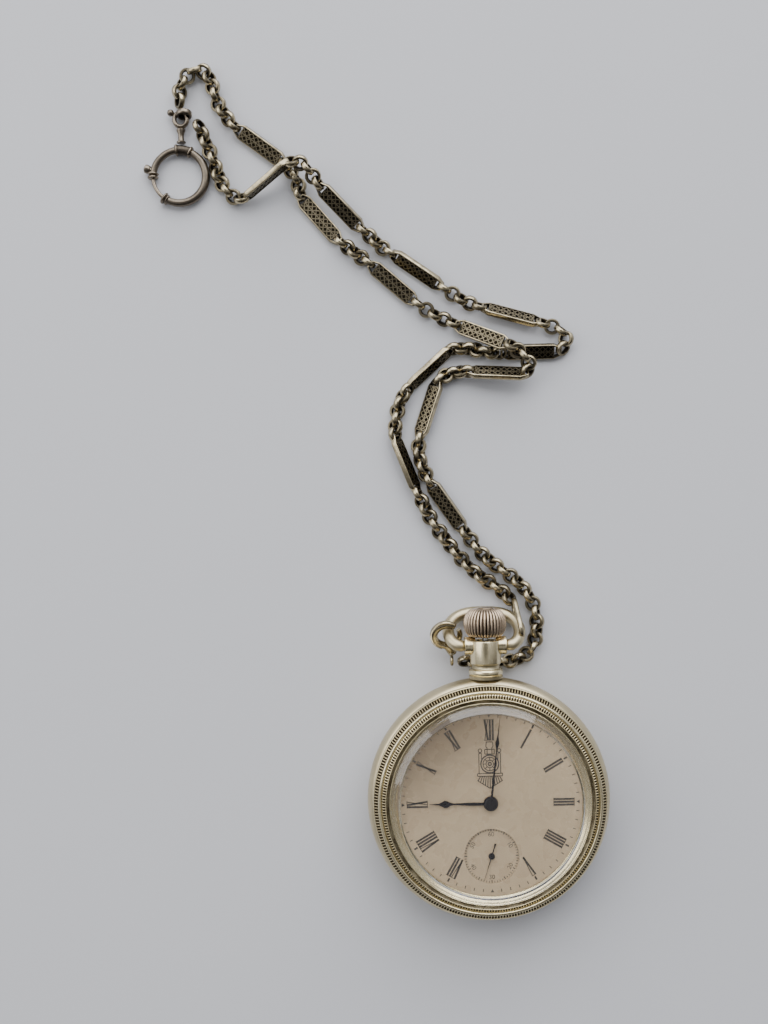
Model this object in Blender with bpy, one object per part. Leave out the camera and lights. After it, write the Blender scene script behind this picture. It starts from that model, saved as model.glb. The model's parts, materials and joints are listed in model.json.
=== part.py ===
"""Open-face pocket watch lying on its back, with its chain.

Metres, +Z up out of the dial, +Y to the pendant at 12 o'clock, and the origin at the
centre of the flat on the case back.  Every piece is its own object, and a piece that
moves has its origin on its axis.
"""

import math

import bmesh
import bpy
from mathutils import Matrix, Vector
from mathutils.geometry import interpolate_bezier

MM = 0.001

# ---- Driving dimensions: the case, from the table up ---------------------------------
CASE_RADIUS = 28.5 * MM
BACK_RADIUS = 27.6 * MM
BACK_FLAT_RADIUS = 10.0 * MM
BACK_HEIGHT = 5.0 * MM
WALL = 0.9 * MM
GAP = 0.3 * MM
BAND_HEIGHT = 6.7 * MM
BEZEL_RADIUS = 27.2 * MM
BEZEL_HEIGHT = 3.4 * MM
GLASS_RADIUS = 23.0 * MM
GLASS_FLAT_RADIUS = 21.3 * MM
GLASS_HEIGHT = 1.9 * MM
GLASS_WALL = 1.1 * MM
SIGHT_RADIUS = 21.3 * MM
SCREW_FLANGE_WALL = 0.6 * MM

# ---- Driving dimensions: the movement ------------------------------------------------
PLATE_RADIUS = 21.9 * MM
PLATE_THICKNESS = 1.4 * MM
TOP_PLATE_RADIUS = 20.8 * MM
TOP_PLATE_THICKNESS = 1.2 * MM
TRAIN_ROOM = 4.2 * MM
TOP_PLATE_Z = 5.4 * MM
DIAL_RADIUS = 21.9 * MM
DIAL_THICKNESS = 0.5 * MM
MOTION_ROOM = 1.6 * MM
SECONDS_OFFSET = 12.33 * MM
SECONDS_HOLE_RADIUS = 6.4 * MM
ARBOR_RADIUS = 0.35 * MM
PIVOT_CLEARANCE = 0.2 * MM
TOOTH_DEPTH_SHARE = 0.5
MESH_GAP = 0.14 * MM
PILLAR_RADIUS = 1.0 * MM
PILLAR_ANGLES = (45.0, 165.0, 235.0, 310.0)
PILLAR_CIRCLE = 19.3 * MM

# ---- Driving dimensions: pendant, crown and bow --------------------------------------
PENDANT_Z = 9.4 * MM
NECK_RADIUS = 3.65 * MM
NECK_LENGTH = 8.4 * MM
NECK_TOP = CASE_RADIUS + GAP + NECK_LENGTH
NECK_BORE = 2.2 * MM
EAR_DROP = 1.3 * MM
EAR_Y = NECK_TOP - EAR_DROP
EAR_RADIUS = 2.1 * MM
EAR_REACH = 4.95 * MM
CROWN_RADIUS = 5.0 * MM
CROWN_CLEARANCE = 0.8 * MM
CROWN_BOTTOM = NECK_TOP + CROWN_CLEARANCE
CROWN_HEIGHT = 7.0 * MM
CROWN_FLUTES = 24
STEM_RADIUS = 0.8 * MM
BOW_WIRE_RADIUS = 1.42 * MM
BOW_HALF_WIDTH = 8.5 * MM
BOW_REACH = 10.7 * MM
BOW_PIN_RADIUS = 0.8 * MM

# ---- Driving dimensions: the chain ---------------------------------------------------
CHAIN_RADIUS = 1.8 * MM
CHAIN_Z = 1.9 * MM
CHAIN_STEP = 7.2 * MM
HOOK_WIRE = 0.95 * MM
HOOK_CLEARANCE = 0.38 * MM
HOOK_RADIUS = BOW_WIRE_RADIUS + HOOK_WIRE + HOOK_CLEARANCE
HOOK_ALONG_BOW = 3.5477 * MM
HOOK_INSET = 0.1 * MM
HOOK_DROP = 0.0373 * MM
HOOK_TILT = 31.0
BOLT_RING_CENTRE = (-71.0 * MM, 150.3 * MM)
BOLT_RING_RADIUS = 6.4 * MM
BOLT_RING_WIRE = 0.85 * MM

ROUND_STEPS = 40
SMALL_STEPS = 16


# ---- Tools ---------------------------------------------------------------------------
def clear_scene():
    """Take every object out of the scene."""
    for obj in list(bpy.data.objects):
        bpy.data.objects.remove(obj, do_unlink=True)


def material(name, color, roughness, metallic):
    """A plain Principled material."""
    made = bpy.data.materials.new(name)
    made.use_nodes = True
    shader = made.node_tree.nodes["Principled BSDF"]
    shader.inputs["Base Color"].default_value = (*color, 1.0)
    shader.inputs["Roughness"].default_value = roughness
    shader.inputs["Metallic"].default_value = metallic
    return made


def place(obj, origin):
    """Move an object's origin to a point without moving its shape."""
    origin = Vector(origin)
    obj.data.transform(Matrix.Translation(-origin))
    obj.location = origin
    return obj


def make(name, bm, finish, origin=(0, 0, 0)):
    """Turn a bmesh into a linked object with smooth round sides."""
    bmesh.ops.recalc_face_normals(bm, faces=bm.faces)
    mesh = bpy.data.meshes.new(name)
    bm.to_mesh(mesh)
    bm.free()
    mesh.shade_smooth()
    mesh.set_sharp_from_angle(angle=math.radians(35))
    mesh.materials.append(finish)
    obj = bpy.data.objects.new(name, mesh)
    bpy.context.collection.objects.link(obj)
    return place(obj, origin)


def turned_mesh(profile, steps=ROUND_STEPS, ring=False, flute=1.0):
    """Turn (radius, height) points round Z; flute scales the radius of every second step."""
    bm = bmesh.new()
    verts = [bm.verts.new((radius, 0, height)) for radius, height in profile]
    pairs = list(zip(verts, verts[1:]))
    if ring:
        pairs.append((verts[-1], verts[0]))
    edges = [bm.edges.new(pair) for pair in pairs]
    bmesh.ops.spin(bm, geom=verts + edges, axis=(0, 0, 1), cent=(0, 0, 0),
                   angle=math.tau, steps=steps, use_merge=True)
    bmesh.ops.remove_doubles(bm, verts=bm.verts, dist=1e-7)
    if flute != 1.0:
        for vert in bm.verts:
            step = round(math.atan2(vert.co.y, vert.co.x) / math.tau * steps)
            if step % 2:
                vert.co.x *= flute
                vert.co.y *= flute
    return bm


def turned(name, profile, finish, centre=(0, 0), steps=ROUND_STEPS, ring=False):
    """A turned piece standing on a vertical axis at centre."""
    bm = turned_mesh(profile, steps, ring)
    bmesh.ops.translate(bm, verts=bm.verts, vec=(*centre, 0))
    return make(name, bm, finish, (*centre, 0))


def turned_on_y(name, profile, finish, steps=32, ring=False, flute=1.0):
    """A turned piece on the pendant's axis; heights in the profile are Y."""
    bm = turned_mesh(profile, steps, ring, flute)
    bmesh.ops.rotate(bm, verts=bm.verts, cent=(0, 0, 0), matrix=Matrix.Rotation(-math.pi / 2, 3, "X"))
    bmesh.ops.translate(bm, verts=bm.verts, vec=(0, 0, PENDANT_Z))
    return make(name, bm, finish, (0, 0, PENDANT_Z))


def circle(radius, steps=SMALL_STEPS, centre=(0, 0)):
    """Points round a circle."""
    return [(centre[0] + radius * math.cos(math.tau * i / steps),
             centre[1] + radius * math.sin(math.tau * i / steps)) for i in range(steps)]


def teeth(count, pitch_radius, phase, centre, depth_share=TOOTH_DEPTH_SHARE):
    """Outline of pointed teeth round a pitch circle, with a tip at angle phase."""
    half = depth_share * math.pi * pitch_radius / count
    points = []
    for i in range(2 * count):
        angle = phase + math.pi * i / count
        radius = pitch_radius + (half if i % 2 == 0 else -half) - MESH_GAP / 2
        points.append((centre[0] + radius * math.cos(angle), centre[1] + radius * math.sin(angle)))
    return points


def meshed_phase(count, other_count, other_phase, towards):
    """Phase of a wheel whose gap takes the tooth of the other; towards is the angle other to it."""
    return towards + math.pi + math.pi / count - (other_phase - towards) * other_count / count


def prism_mesh(outline, low, high):
    """A bmesh of an outline raised from one height to another."""
    bm = bmesh.new()
    face = bm.faces.new([bm.verts.new((x, y, low)) for x, y in outline])
    if face.normal.z > 0 or face.calc_area() == 0:
        face.normal_flip()
    raised = bmesh.ops.extrude_face_region(bm, geom=[face])["geom"]
    verts = [item for item in raised if isinstance(item, bmesh.types.BMVert)]
    bmesh.ops.translate(bm, verts=verts, vec=(0, 0, high - low))
    return bm


def prism(name, outline, low, high, finish, origin=(0, 0, 0)):
    """A raised outline as an object."""
    return make(name, prism_mesh(outline, low, high), finish, origin)


def helper(obj):
    """Hide a shape that only cuts or joins another."""
    obj.hide_render = True
    obj.display_type = "WIRE"
    return obj


def combine(obj, other, operation):
    """Cut or join another shape, which becomes a helper."""
    change = obj.modifiers.new(operation.lower(), "BOOLEAN")
    change.operation = operation
    change.solver = "EXACT"
    change.object = helper(other)
    return obj


def bore(obj, centre, radius, low, high, steps=12):
    """Drill a vertical hole."""
    return combine(obj, prism(obj.name + "_bore", circle(radius, steps, centre), low, high, STEEL),
                   "DIFFERENCE")


def post(obj, centre, radius, low, high, steps=12):
    """Join a vertical pin."""
    return combine(obj, prism(obj.name + "_post", circle(radius, steps, centre), low, high, STEEL),
                   "UNION")


def tube(name, points, radius, finish, sides=8, origin=(0, 0, 0), radii=None, closed=False):
    """A round bar along points, with closed ends."""
    curve = bpy.data.curves.new(name, "CURVE")
    curve.dimensions = "3D"
    curve.bevel_depth = radius
    curve.bevel_resolution = (sides - 4) // 2
    curve.use_fill_caps = not closed
    spline = curve.splines.new("POLY")
    spline.points.add(len(points) - 1)
    spline.use_cyclic_u = closed
    for index, point in enumerate(points):
        spline.points[index].co = (*(Vector(point) - Vector(origin)), 1)
        spline.points[index].radius = 1.0 if radii is None else radii[index]
    curve.materials.append(finish)
    obj = bpy.data.objects.new(name, curve)
    obj.location = origin
    bpy.context.collection.objects.link(obj)
    return obj


def as_mesh(curve_obj):
    """Swap a curve object for its closed mesh, so that it can be cut or joined."""
    bpy.context.view_layer.update()
    evaluated = curve_obj.evaluated_get(bpy.context.evaluated_depsgraph_get())
    bm = bmesh.new()
    mesh = bpy.data.meshes.new_from_object(evaluated)
    bm.from_mesh(mesh)
    bmesh.ops.remove_doubles(bm, verts=bm.verts, dist=1e-7)
    bmesh.ops.transform(bm, matrix=curve_obj.matrix_world, verts=bm.verts)
    name, finish, origin = curve_obj.name, curve_obj.data.materials[0], tuple(curve_obj.location)
    bpy.data.objects.remove(curve_obj, do_unlink=True)
    return make(name, bm, finish, origin)


def arc(centre, along, across, radius, start, end, count):
    """Points of an arc in the plane of two unit vectors, angles in degrees."""
    points = []
    for i in range(count):
        angle = math.radians(start + (end - start) * i / (count - 1))
        points.append(Vector(centre) + radius * (math.cos(angle) * Vector(along)
                                                 + math.sin(angle) * Vector(across)))
    return points


def smooth_path(route, step):
    """Evenly spaced points on a smooth curve through a route."""
    route = [Vector(point) for point in route]
    dense = [route[0]]
    for i in range(len(route) - 1):
        before = route[max(i - 1, 0)]
        after = route[min(i + 2, len(route) - 1)]
        low_handle = route[i] + (route[i + 1] - before) / 6
        high_handle = route[i + 1] - (after - route[i]) / 6
        dense += list(interpolate_bezier(route[i], low_handle, high_handle, route[i + 1], 12))[1:]
    lengths = [0.0]
    for a, b in zip(dense, dense[1:]):
        lengths.append(lengths[-1] + (b - a).length)
    count = max(2, round(lengths[-1] / step))
    points = []
    index = 0
    for i in range(count + 1):
        target = lengths[-1] * i / count
        while index < len(dense) - 2 and lengths[index + 1] < target:
            index += 1
        part = (target - lengths[index]) / (lengths[index + 1] - lengths[index])
        points.append(dense[index].lerp(dense[index + 1], part))
    return points


clear_scene()

# ---- Finishes ------------------------------------------------------------------------
NICKEL = material("case_nickel", (0.62, 0.55, 0.38), 0.32, 1.0)
ROSE = material("crown_rose", (0.60, 0.46, 0.36), 0.35, 1.0)
GLASS = material("crystal_glass", (0.92, 0.95, 0.95), 0.03, 0.0)
ENAMEL = material("dial_enamel", (0.83, 0.78, 0.66), 0.35, 0.0)
BLUED = material("blued_steel", (0.02, 0.02, 0.04), 0.25, 1.0)
STEEL = material("steel", (0.55, 0.56, 0.58), 0.25, 1.0)
BRASS = material("gilt_brass", (0.75, 0.58, 0.28), 0.3, 1.0)
CHAIN = material("chain_silver", (0.32, 0.29, 0.21), 0.38, 1.0)
GUNMETAL = material("gunmetal", (0.22, 0.21, 0.20), 0.3, 1.0)

# ---- Heights that follow from the driving dimensions -----------------------------------
BACK_RIM_Z = BACK_HEIGHT + 0.6 * MM
BAND_LOW = BACK_RIM_Z + GAP
BAND_TOP = BAND_LOW + BAND_HEIGHT
BEZEL_LOW = BAND_TOP + GAP
BEZEL_TOP = BEZEL_LOW + BEZEL_HEIGHT
TRAIN_LOW = TOP_PLATE_Z + TOP_PLATE_THICKNESS
PLATE_LOW = TRAIN_LOW + TRAIN_ROOM
PLATE_TOP = PLATE_LOW + PLATE_THICKNESS
DIAL_LOW = PLATE_TOP + MOTION_ROOM
DIAL_TOP = DIAL_LOW + DIAL_THICKNESS
PLATE_FLANGE_RADIUS = PLATE_RADIUS + 1.0 * MM
LEDGE_TOP = PLATE_LOW + 0.2 * MM - GAP
BEZEL_FLANGE_RADIUS = 25.1 * MM
BAND_INNER = BEZEL_FLANGE_RADIUS + GAP
LEDGE_RADIUS = PLATE_RADIUS + GAP


def fraction(low, high, share):
    """The value part of the way from low to high."""
    return low + (high - low) * share


def back_cover():
    """Screw back: flat centre, domed shell, upright threaded flange."""
    flange = BACK_RADIUS - 1.4 * MM
    dome = BACK_RADIUS - BACK_FLAT_RADIUS
    outer = [(0, 0), (BACK_FLAT_RADIUS, 0)]
    for share in (0.25, 0.5, 0.7, 0.85, 0.95, 1.0):
        drop = 1 - math.sqrt(1 - share * share)
        outer.append((BACK_FLAT_RADIUS + dome * share, BACK_HEIGHT * drop))
    outer += [(BACK_RADIUS, BACK_RIM_Z), (flange, BACK_RIM_Z), (flange, BACK_RIM_Z + 1.3 * MM),
              (flange - SCREW_FLANGE_WALL, BACK_RIM_Z + 1.3 * MM)]
    inner = []
    inner_dome = flange - SCREW_FLANGE_WALL - BACK_FLAT_RADIUS
    for share in (1.0, 0.9, 0.7, 0.4):
        drop = 1 - math.sqrt(1 - share * share)
        inner.append((BACK_FLAT_RADIUS + inner_dome * share, WALL + (BACK_HEIGHT - WALL) * drop))
    inner += [(BACK_FLAT_RADIUS, WALL), (0, WALL)]
    return turned("back_cover", outer + inner, NICKEL)


def case_band():
    """Middle of the case, with the seat of the movement, the stem hole and screw holes."""
    flange = BACK_RADIUS - 1.4 * MM + GAP
    low_pocket = BACK_RIM_Z + 1.3 * MM + GAP
    ledge_low = LEDGE_TOP - 0.8 * MM
    middle = PENDANT_Z + 0.2 * MM
    profile = [
        (BACK_RADIUS - 0.1 * MM, BAND_LOW),
        (CASE_RADIUS - 0.35 * MM, fraction(BAND_LOW, middle, 0.35)),
        (CASE_RADIUS - 0.07 * MM, fraction(BAND_LOW, middle, 0.75)),
        (CASE_RADIUS, middle),
        (CASE_RADIUS - 0.15 * MM, fraction(middle, BAND_TOP, 0.4)),
        (CASE_RADIUS - 0.6 * MM, fraction(middle, BAND_TOP, 0.8)),
        (BEZEL_RADIUS, BAND_TOP),
        (BAND_INNER, BAND_TOP), (BAND_INNER, LEDGE_TOP),
        (LEDGE_RADIUS, LEDGE_TOP), (LEDGE_RADIUS, ledge_low), (BAND_INNER, ledge_low - 0.8 * MM),
        (BAND_INNER, low_pocket), (flange, low_pocket), (flange, BAND_LOW),
    ]
    band = turned("case_band", profile, NICKEL, ring=True)
    hole = turned_on_y("case_band_stem_hole", [(0, LEDGE_RADIUS - 2 * MM), (1.4 * MM, LEDGE_RADIUS - 2 * MM),
                                               (1.4 * MM, CASE_RADIUS + MM), (0, CASE_RADIUS + MM)],
                       NICKEL, steps=12)
    combine(band, hole, "DIFFERENCE")
    for angle in CASE_SCREW_ANGLES:
        bore(band, polar(CASE_SCREW_CIRCLE, angle), CASE_SCREW_RADIUS + PIVOT_CLEARANCE,
             ledge_low - 2 * MM, LEDGE_TOP + MM, 8)
    return band


def polar(radius, degrees, centre=(0, 0)):
    """A point at an angle from +X."""
    return (centre[0] + radius * math.cos(math.radians(degrees)),
            centre[1] + radius * math.sin(math.radians(degrees)))


CASE_SCREW_ANGLES = (30.0, 210.0)
CASE_SCREW_CIRCLE = PLATE_FLANGE_RADIUS + 0.7 * MM
CASE_SCREW_RADIUS = 0.45 * MM


def case_screws():
    """Two screws whose heads hold the edge of the main plate down."""
    for number, angle in enumerate(CASE_SCREW_ANGLES, 1):
        head_low = PLATE_TOP + 0.15 * MM
        profile = [(0, LEDGE_TOP - 0.7 * MM), (CASE_SCREW_RADIUS, LEDGE_TOP - 0.7 * MM),
                   (CASE_SCREW_RADIUS, head_low), (0.7 * MM, head_low),
                   (0.7 * MM, head_low + 0.4 * MM), (0, head_low + 0.4 * MM)]
        turned(f"case_screw_{number}", profile, BLUED, polar(CASE_SCREW_CIRCLE, angle), 10)


GLASS_SEAT_Z = BEZEL_TOP - 0.6 * MM


def bezel():
    """Screw bezel with a stepped top, the seat of the glass and the sloped sight ring."""
    flange_low = BEZEL_LOW - 1.4 * MM
    flange_inner = BEZEL_FLANGE_RADIUS - SCREW_FLANGE_WALL
    sight_z = DIAL_TOP + GAP
    profile = [
        (BEZEL_RADIUS, BEZEL_LOW),
        (BEZEL_RADIUS, BEZEL_LOW + 0.9 * MM),
        (BEZEL_RADIUS - 1.2 * MM, BEZEL_LOW + 1.9 * MM),
        (BEZEL_RADIUS - 1.5 * MM, BEZEL_LOW + 2.35 * MM),
        (BEZEL_RADIUS - 2.1 * MM, BEZEL_LOW + 2.5 * MM),
        (BEZEL_RADIUS - 2.8 * MM, BEZEL_LOW + 2.8 * MM),
        (GLASS_RADIUS + 0.7 * MM, BEZEL_TOP - 0.1 * MM),
        (GLASS_RADIUS + GAP, BEZEL_TOP),
        (GLASS_RADIUS + GAP, GLASS_SEAT_Z),
        (GLASS_RADIUS - 0.8 * MM, GLASS_SEAT_Z),
        (SIGHT_RADIUS, sight_z),
        (flange_inner, sight_z),
        (flange_inner, flange_low),
        (BEZEL_FLANGE_RADIUS, flange_low),
        (BEZEL_FLANGE_RADIUS, BEZEL_LOW),
    ]
    return turned("bezel", profile, NICKEL, ring=True)


def crystal():
    """Flat glass with a bevelled rim."""
    low = GLASS_SEAT_Z + GAP
    top = low + GLASS_HEIGHT + 0.3 * MM
    profile = [(0, top), (GLASS_FLAT_RADIUS, top), (GLASS_RADIUS, low + 0.9 * MM), (GLASS_RADIUS, low),
               (GLASS_RADIUS - 0.7 * MM, low), (GLASS_FLAT_RADIUS - 0.4 * MM, top - GLASS_WALL),
               (0, top - GLASS_WALL)]
    return turned("crystal", profile[::-1], GLASS)


# ---- Pendant, crown, bow ---------------------------------------------------------------
def pendant_neck():
    """Neck on the case band, with a collar, a groove and two bored ears."""
    low = CASE_RADIUS + GAP
    collar = NECK_RADIUS + 0.3 * MM
    profile = [(collar, low), (collar, low + 1.6 * MM), (NECK_RADIUS - 0.5 * MM, low + 2.0 * MM),
               (NECK_RADIUS - 0.5 * MM, low + 2.6 * MM), (NECK_RADIUS, low + 3.0 * MM),
               (NECK_RADIUS, NECK_TOP), (NECK_BORE, NECK_TOP), (NECK_BORE, low)]
    neck = turned_on_y("pendant_neck", profile, NICKEL, ring=True)
    for side in (-1, 1):
        combine(neck, bar_on_x(f"pendant_ear_{side}", side, NECK_BORE + 0.6 * MM, EAR_REACH, EAR_RADIUS, 16),
                "UNION")
        combine(neck, bar_on_x(f"pendant_ear_hole_{side}", side, NECK_BORE - 0.5 * MM, EAR_REACH + MM,
                               BOW_PIN_RADIUS + GAP, 10), "DIFFERENCE")
    return neck


def bar_on_x(name, side, start, end, radius, steps):
    """A round bar on the axis of the ears, on one side."""
    bm = prism_mesh(circle(radius, steps), start, end)
    bmesh.ops.rotate(bm, verts=bm.verts, cent=(0, 0, 0), matrix=Matrix.Rotation(side * math.pi / 2, 3, "Y"))
    bmesh.ops.translate(bm, verts=bm.verts, vec=(0, EAR_Y, PENDANT_Z))
    return make(name, bm, NICKEL)


def crown():
    """Onion crown with flutes and a plain cap."""
    low, high = CROWN_BOTTOM, CROWN_BOTTOM + CROWN_HEIGHT
    shape = ((0.66, 0.0), (0.86, 0.11), (0.98, 0.30), (1.0, 0.50), (0.93, 0.72), (0.74, 0.88), (0.46, 0.95))
    profile = [(0, low)]
    profile += [(CROWN_RADIUS * radius, fraction(low, high, share)) for radius, share in shape]
    fluted = turned_on_y("crown", profile + [(0, high - 0.05 * CROWN_HEIGHT)], ROSE,
                         steps=2 * CROWN_FLUTES, flute=0.94)
    cap = turned_on_y("crown_cap", [(0, high - MM), (0.40 * CROWN_RADIUS, high - MM),
                                    (0.38 * CROWN_RADIUS, high - 0.1 * MM), (0, high)], ROSE, steps=20)
    return combine(fluted, cap, "UNION")


STEM_END = 16.6 * MM
WINDING_PITCH = 1.55 * MM
PINION_POCKET = 2.5 * MM
PINION_LOW = 17.4 * MM
PINION_HIGH = 19.4 * MM
SLEEVE_LOW = CASE_RADIUS + GAP + 1.2 * MM


def winding_stem():
    """Stem under the crown: round, with a square end in the winding pinion."""
    shoulder = PINION_HIGH + 2 * MM
    stem = turned_on_y("winding_stem", [(0, shoulder), (STEM_RADIUS, shoulder),
                                        (STEM_RADIUS, CROWN_BOTTOM - GAP), (0, CROWN_BOTTOM - GAP)],
                       STEEL, steps=12)
    square = turned_on_y("winding_stem_square", [(0, STEM_END), (STEM_RADIUS, STEM_END),
                                                 (STEM_RADIUS, shoulder + MM), (0, shoulder + MM)],
                         STEEL, steps=4)
    return combine(stem, square, "UNION")


def winding_parts():
    """Sleeve in the pendant, and the pinion that the stem's square turns."""
    sleeve = [(NECK_BORE - 0.2 * MM, SLEEVE_LOW), (NECK_BORE - 0.2 * MM, NECK_TOP - GAP),
              (STEM_RADIUS + 0.25 * MM, NECK_TOP - GAP), (STEM_RADIUS + 0.25 * MM, SLEEVE_LOW)]
    turned_on_y("stem_sleeve", sleeve, STEEL, steps=16, ring=True)
    pinion = prism_mesh(teeth(WINDING_TEETH, WINDING_PITCH, 0, (0, 0)), PINION_LOW, PINION_HIGH)
    bmesh.ops.rotate(pinion, verts=pinion.verts, cent=(0, 0, 0), matrix=Matrix.Rotation(-math.pi / 2, 3, "X"))
    bmesh.ops.translate(pinion, verts=pinion.verts, vec=(0, 0, PENDANT_Z))
    wheel = make("winding_pinion", pinion, STEEL, (0, 0, PENDANT_Z))
    hole = turned_on_y("winding_pinion_square", [(0, PINION_LOW - MM), (STEM_RADIUS + 0.15 * MM, PINION_LOW - MM),
                                                 (STEM_RADIUS + 0.15 * MM, PINION_HIGH + MM),
                                                 (0, PINION_HIGH + MM)], STEEL, steps=4)
    combine(wheel, hole, "DIFFERENCE")


BOW_REST_ANGLE = math.asin((PENDANT_Z - BOW_WIRE_RADIUS - 0.1 * MM) / BOW_REACH)


def bow_point(across, along):
    """A point of the laid-back bow: across on X, along from the axis of the ears."""
    return Vector((across, EAR_Y + along * math.cos(BOW_REST_ANGLE),
                   PENDANT_Z - along * math.sin(BOW_REST_ANGLE)))


BOW_WIDEST = 0.42 * BOW_REACH


def bow_top(angle):
    """(across, along) on the far arch of the bow, which starts where the bow is widest."""
    return BOW_HALF_WIDTH * math.cos(angle) ** 0.72, BOW_WIDEST + (BOW_REACH - BOW_WIDEST) * math.sin(angle)


def bow_half():
    """(across, along, wire share) from the pin in an ear to the middle of the bow."""
    start = EAR_REACH + 0.45 * MM
    pin = BOW_PIN_RADIUS / BOW_WIRE_RADIUS
    points = [(EAR_REACH - 1.3 * MM, 0, pin), (start - 0.02 * MM, 0, pin), (start, 0, 0.98)]
    for degrees in (22, 46, 70, 90):
        angle = math.radians(degrees)
        points.append((start + (BOW_HALF_WIDTH - start) * math.sin(angle),
                       BOW_WIDEST * (1 - math.cos(angle)), 1.0))
    for degrees in (18, 38, 58, 75):
        points.append((*bow_top(math.radians(degrees)), 1.0))
    return points


def bow():
    """Round bow, laid back until it touches the table; its pins turn in the ears."""
    half = bow_half()
    points = [bow_point(x, y) for x, y, _ in half] + [bow_point(0, BOW_REACH)]
    points += [bow_point(-x, y) for x, y, _ in reversed(half)]
    radii = [share for _, _, share in half]
    return tube("bow", points, BOW_WIRE_RADIUS, NICKEL, 10, (0, EAR_Y, PENDANT_Z),
                radii + [1.0] + radii[::-1])


# ---- Movement --------------------------------------------------------------------------
CENTRE = (0.0, 0.0)
FOURTH = (0.0, -SECONDS_OFFSET)
CENTRE_TEETH, THIRD_PINION, THIRD_TEETH, FOURTH_PINION = 48, 6, 45, 6
FOURTH_TEETH, ESCAPE_PINION = 60, 6
BARREL_TEETH, CENTRE_PINION = 48, 8
CROWN_WHEEL_TEETH, RATCHET_TEETH, WINDING_TEETH = 18, 20, 8
CANNON_TEETH, MINUTE_TEETH, MINUTE_PINION, HOUR_TEETH = 8, 24, 8, 32

CENTRE_TO_THIRD = 9.45 * MM
THIRD_TO_FOURTH = 7.65 * MM
FOURTH_TO_ESCAPE = 6.2 * MM
BARREL_DISTANCE = 10.7 * MM
BARREL_ANGLE = 134.6
MOTION_DISTANCE = 5.6 * MM
MOTION_ANGLE = 60.0
ESCAPE_ANGLE = 195.0
BARREL = polar(BARREL_DISTANCE, BARREL_ANGLE)
CROWN_WHEEL = (0.0, 14.6 * MM)
ESCAPE = polar(FOURTH_TO_ESCAPE, ESCAPE_ANGLE, FOURTH)
MINUTE = polar(MOTION_DISTANCE, MOTION_ANGLE)
BALANCE = (-11.5 * MM, -5.5 * MM)
BALANCE_RADIUS = 6.0 * MM


def meeting(first, first_distance, second, second_distance):
    """The point, on the +X side, at a set distance from each of two points on the Y axis."""
    span = second[1] - first[1]
    y = (first_distance ** 2 - second_distance ** 2 + span ** 2) / (2 * span)
    return (math.sqrt(first_distance ** 2 - y ** 2), first[1] + y)


THIRD = meeting(CENTRE, CENTRE_TO_THIRD, FOURTH, THIRD_TO_FOURTH)


def angle_between(first, second):
    """The direction from one point to another, in radians."""
    return math.atan2(second[1] - first[1], second[0] - first[0])


def split(distance, own, other):
    """A wheel's pitch radius from the centre distance and both tooth counts."""
    return distance * own / (own + other)


PALLET = tuple(e + (b - e) * 4.6 * MM / math.dist(ESCAPE, BALANCE) for e, b in zip(ESCAPE, BALANCE))
HOLE = ARBOR_RADIUS + PIVOT_CLEARANCE


def main_plate():
    """Dial-side plate with a raised rim for the dial, a seat flange, a stud and bearing holes."""
    rim_top = DIAL_LOW - GAP
    profile = [(0, PLATE_LOW), (PLATE_RADIUS, PLATE_LOW), (PLATE_RADIUS, LEDGE_TOP + GAP),
               (PLATE_FLANGE_RADIUS, LEDGE_TOP + GAP), (PLATE_FLANGE_RADIUS, PLATE_TOP),
               (PLATE_RADIUS, PLATE_TOP), (PLATE_RADIUS, rim_top), (PLATE_RADIUS - 1.3 * MM, rim_top),
               (PLATE_RADIUS - 1.3 * MM, PLATE_TOP), (0, PLATE_TOP)]
    plate = turned("main_plate", profile, BRASS, steps=36)
    for centre in (CENTRE, FOURTH, THIRD, ESCAPE, PALLET, BALANCE):
        bore(plate, centre, HOLE, PLATE_LOW - MM, PLATE_TOP + MM, 8)
    bore(plate, BARREL, 0.6 * MM + PIVOT_CLEARANCE, PLATE_LOW - MM, PLATE_TOP + MM, 8)
    bore(plate, (0, fraction(PINION_LOW, PINION_HIGH, 0.5)), PINION_POCKET, PLATE_LOW - MM,
         PENDANT_Z + WINDING_PITCH + 0.6 * MM, 12)
    post(plate, MINUTE, ARBOR_RADIUS + 0.05 * MM, PLATE_TOP - 0.5 * MM, DIAL_LOW - 0.4 * MM, 8)
    return plate


def top_plate():
    """Back plate of the train, with bearing holes and the four screw holes."""
    profile = [(0, TOP_PLATE_Z), (TOP_PLATE_RADIUS, TOP_PLATE_Z), (TOP_PLATE_RADIUS, TRAIN_LOW), (0, TRAIN_LOW)]
    plate = turned("top_plate", profile, BRASS, steps=36)
    low, high = TOP_PLATE_Z - MM, TRAIN_LOW + MM
    for centre in (CENTRE, FOURTH, THIRD, ESCAPE, PALLET):
        bore(plate, centre, HOLE, low, high, 8)
    bore(plate, BARREL, 0.6 * MM + PIVOT_CLEARANCE, low, high, 8)
    bore(plate, BALANCE, ARBOR_RADIUS + 0.5 * MM, low, high, 8)
    bore(plate, CROWN_WHEEL, HOLE, low, high, 8)
    bore(plate, click_centre(), HOLE, low, high, 8)
    for angle in PILLAR_ANGLES:
        bore(plate, polar(PILLAR_CIRCLE, angle), 0.5 * MM + PIVOT_CLEARANCE, low, high, 8)
    return plate


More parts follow.
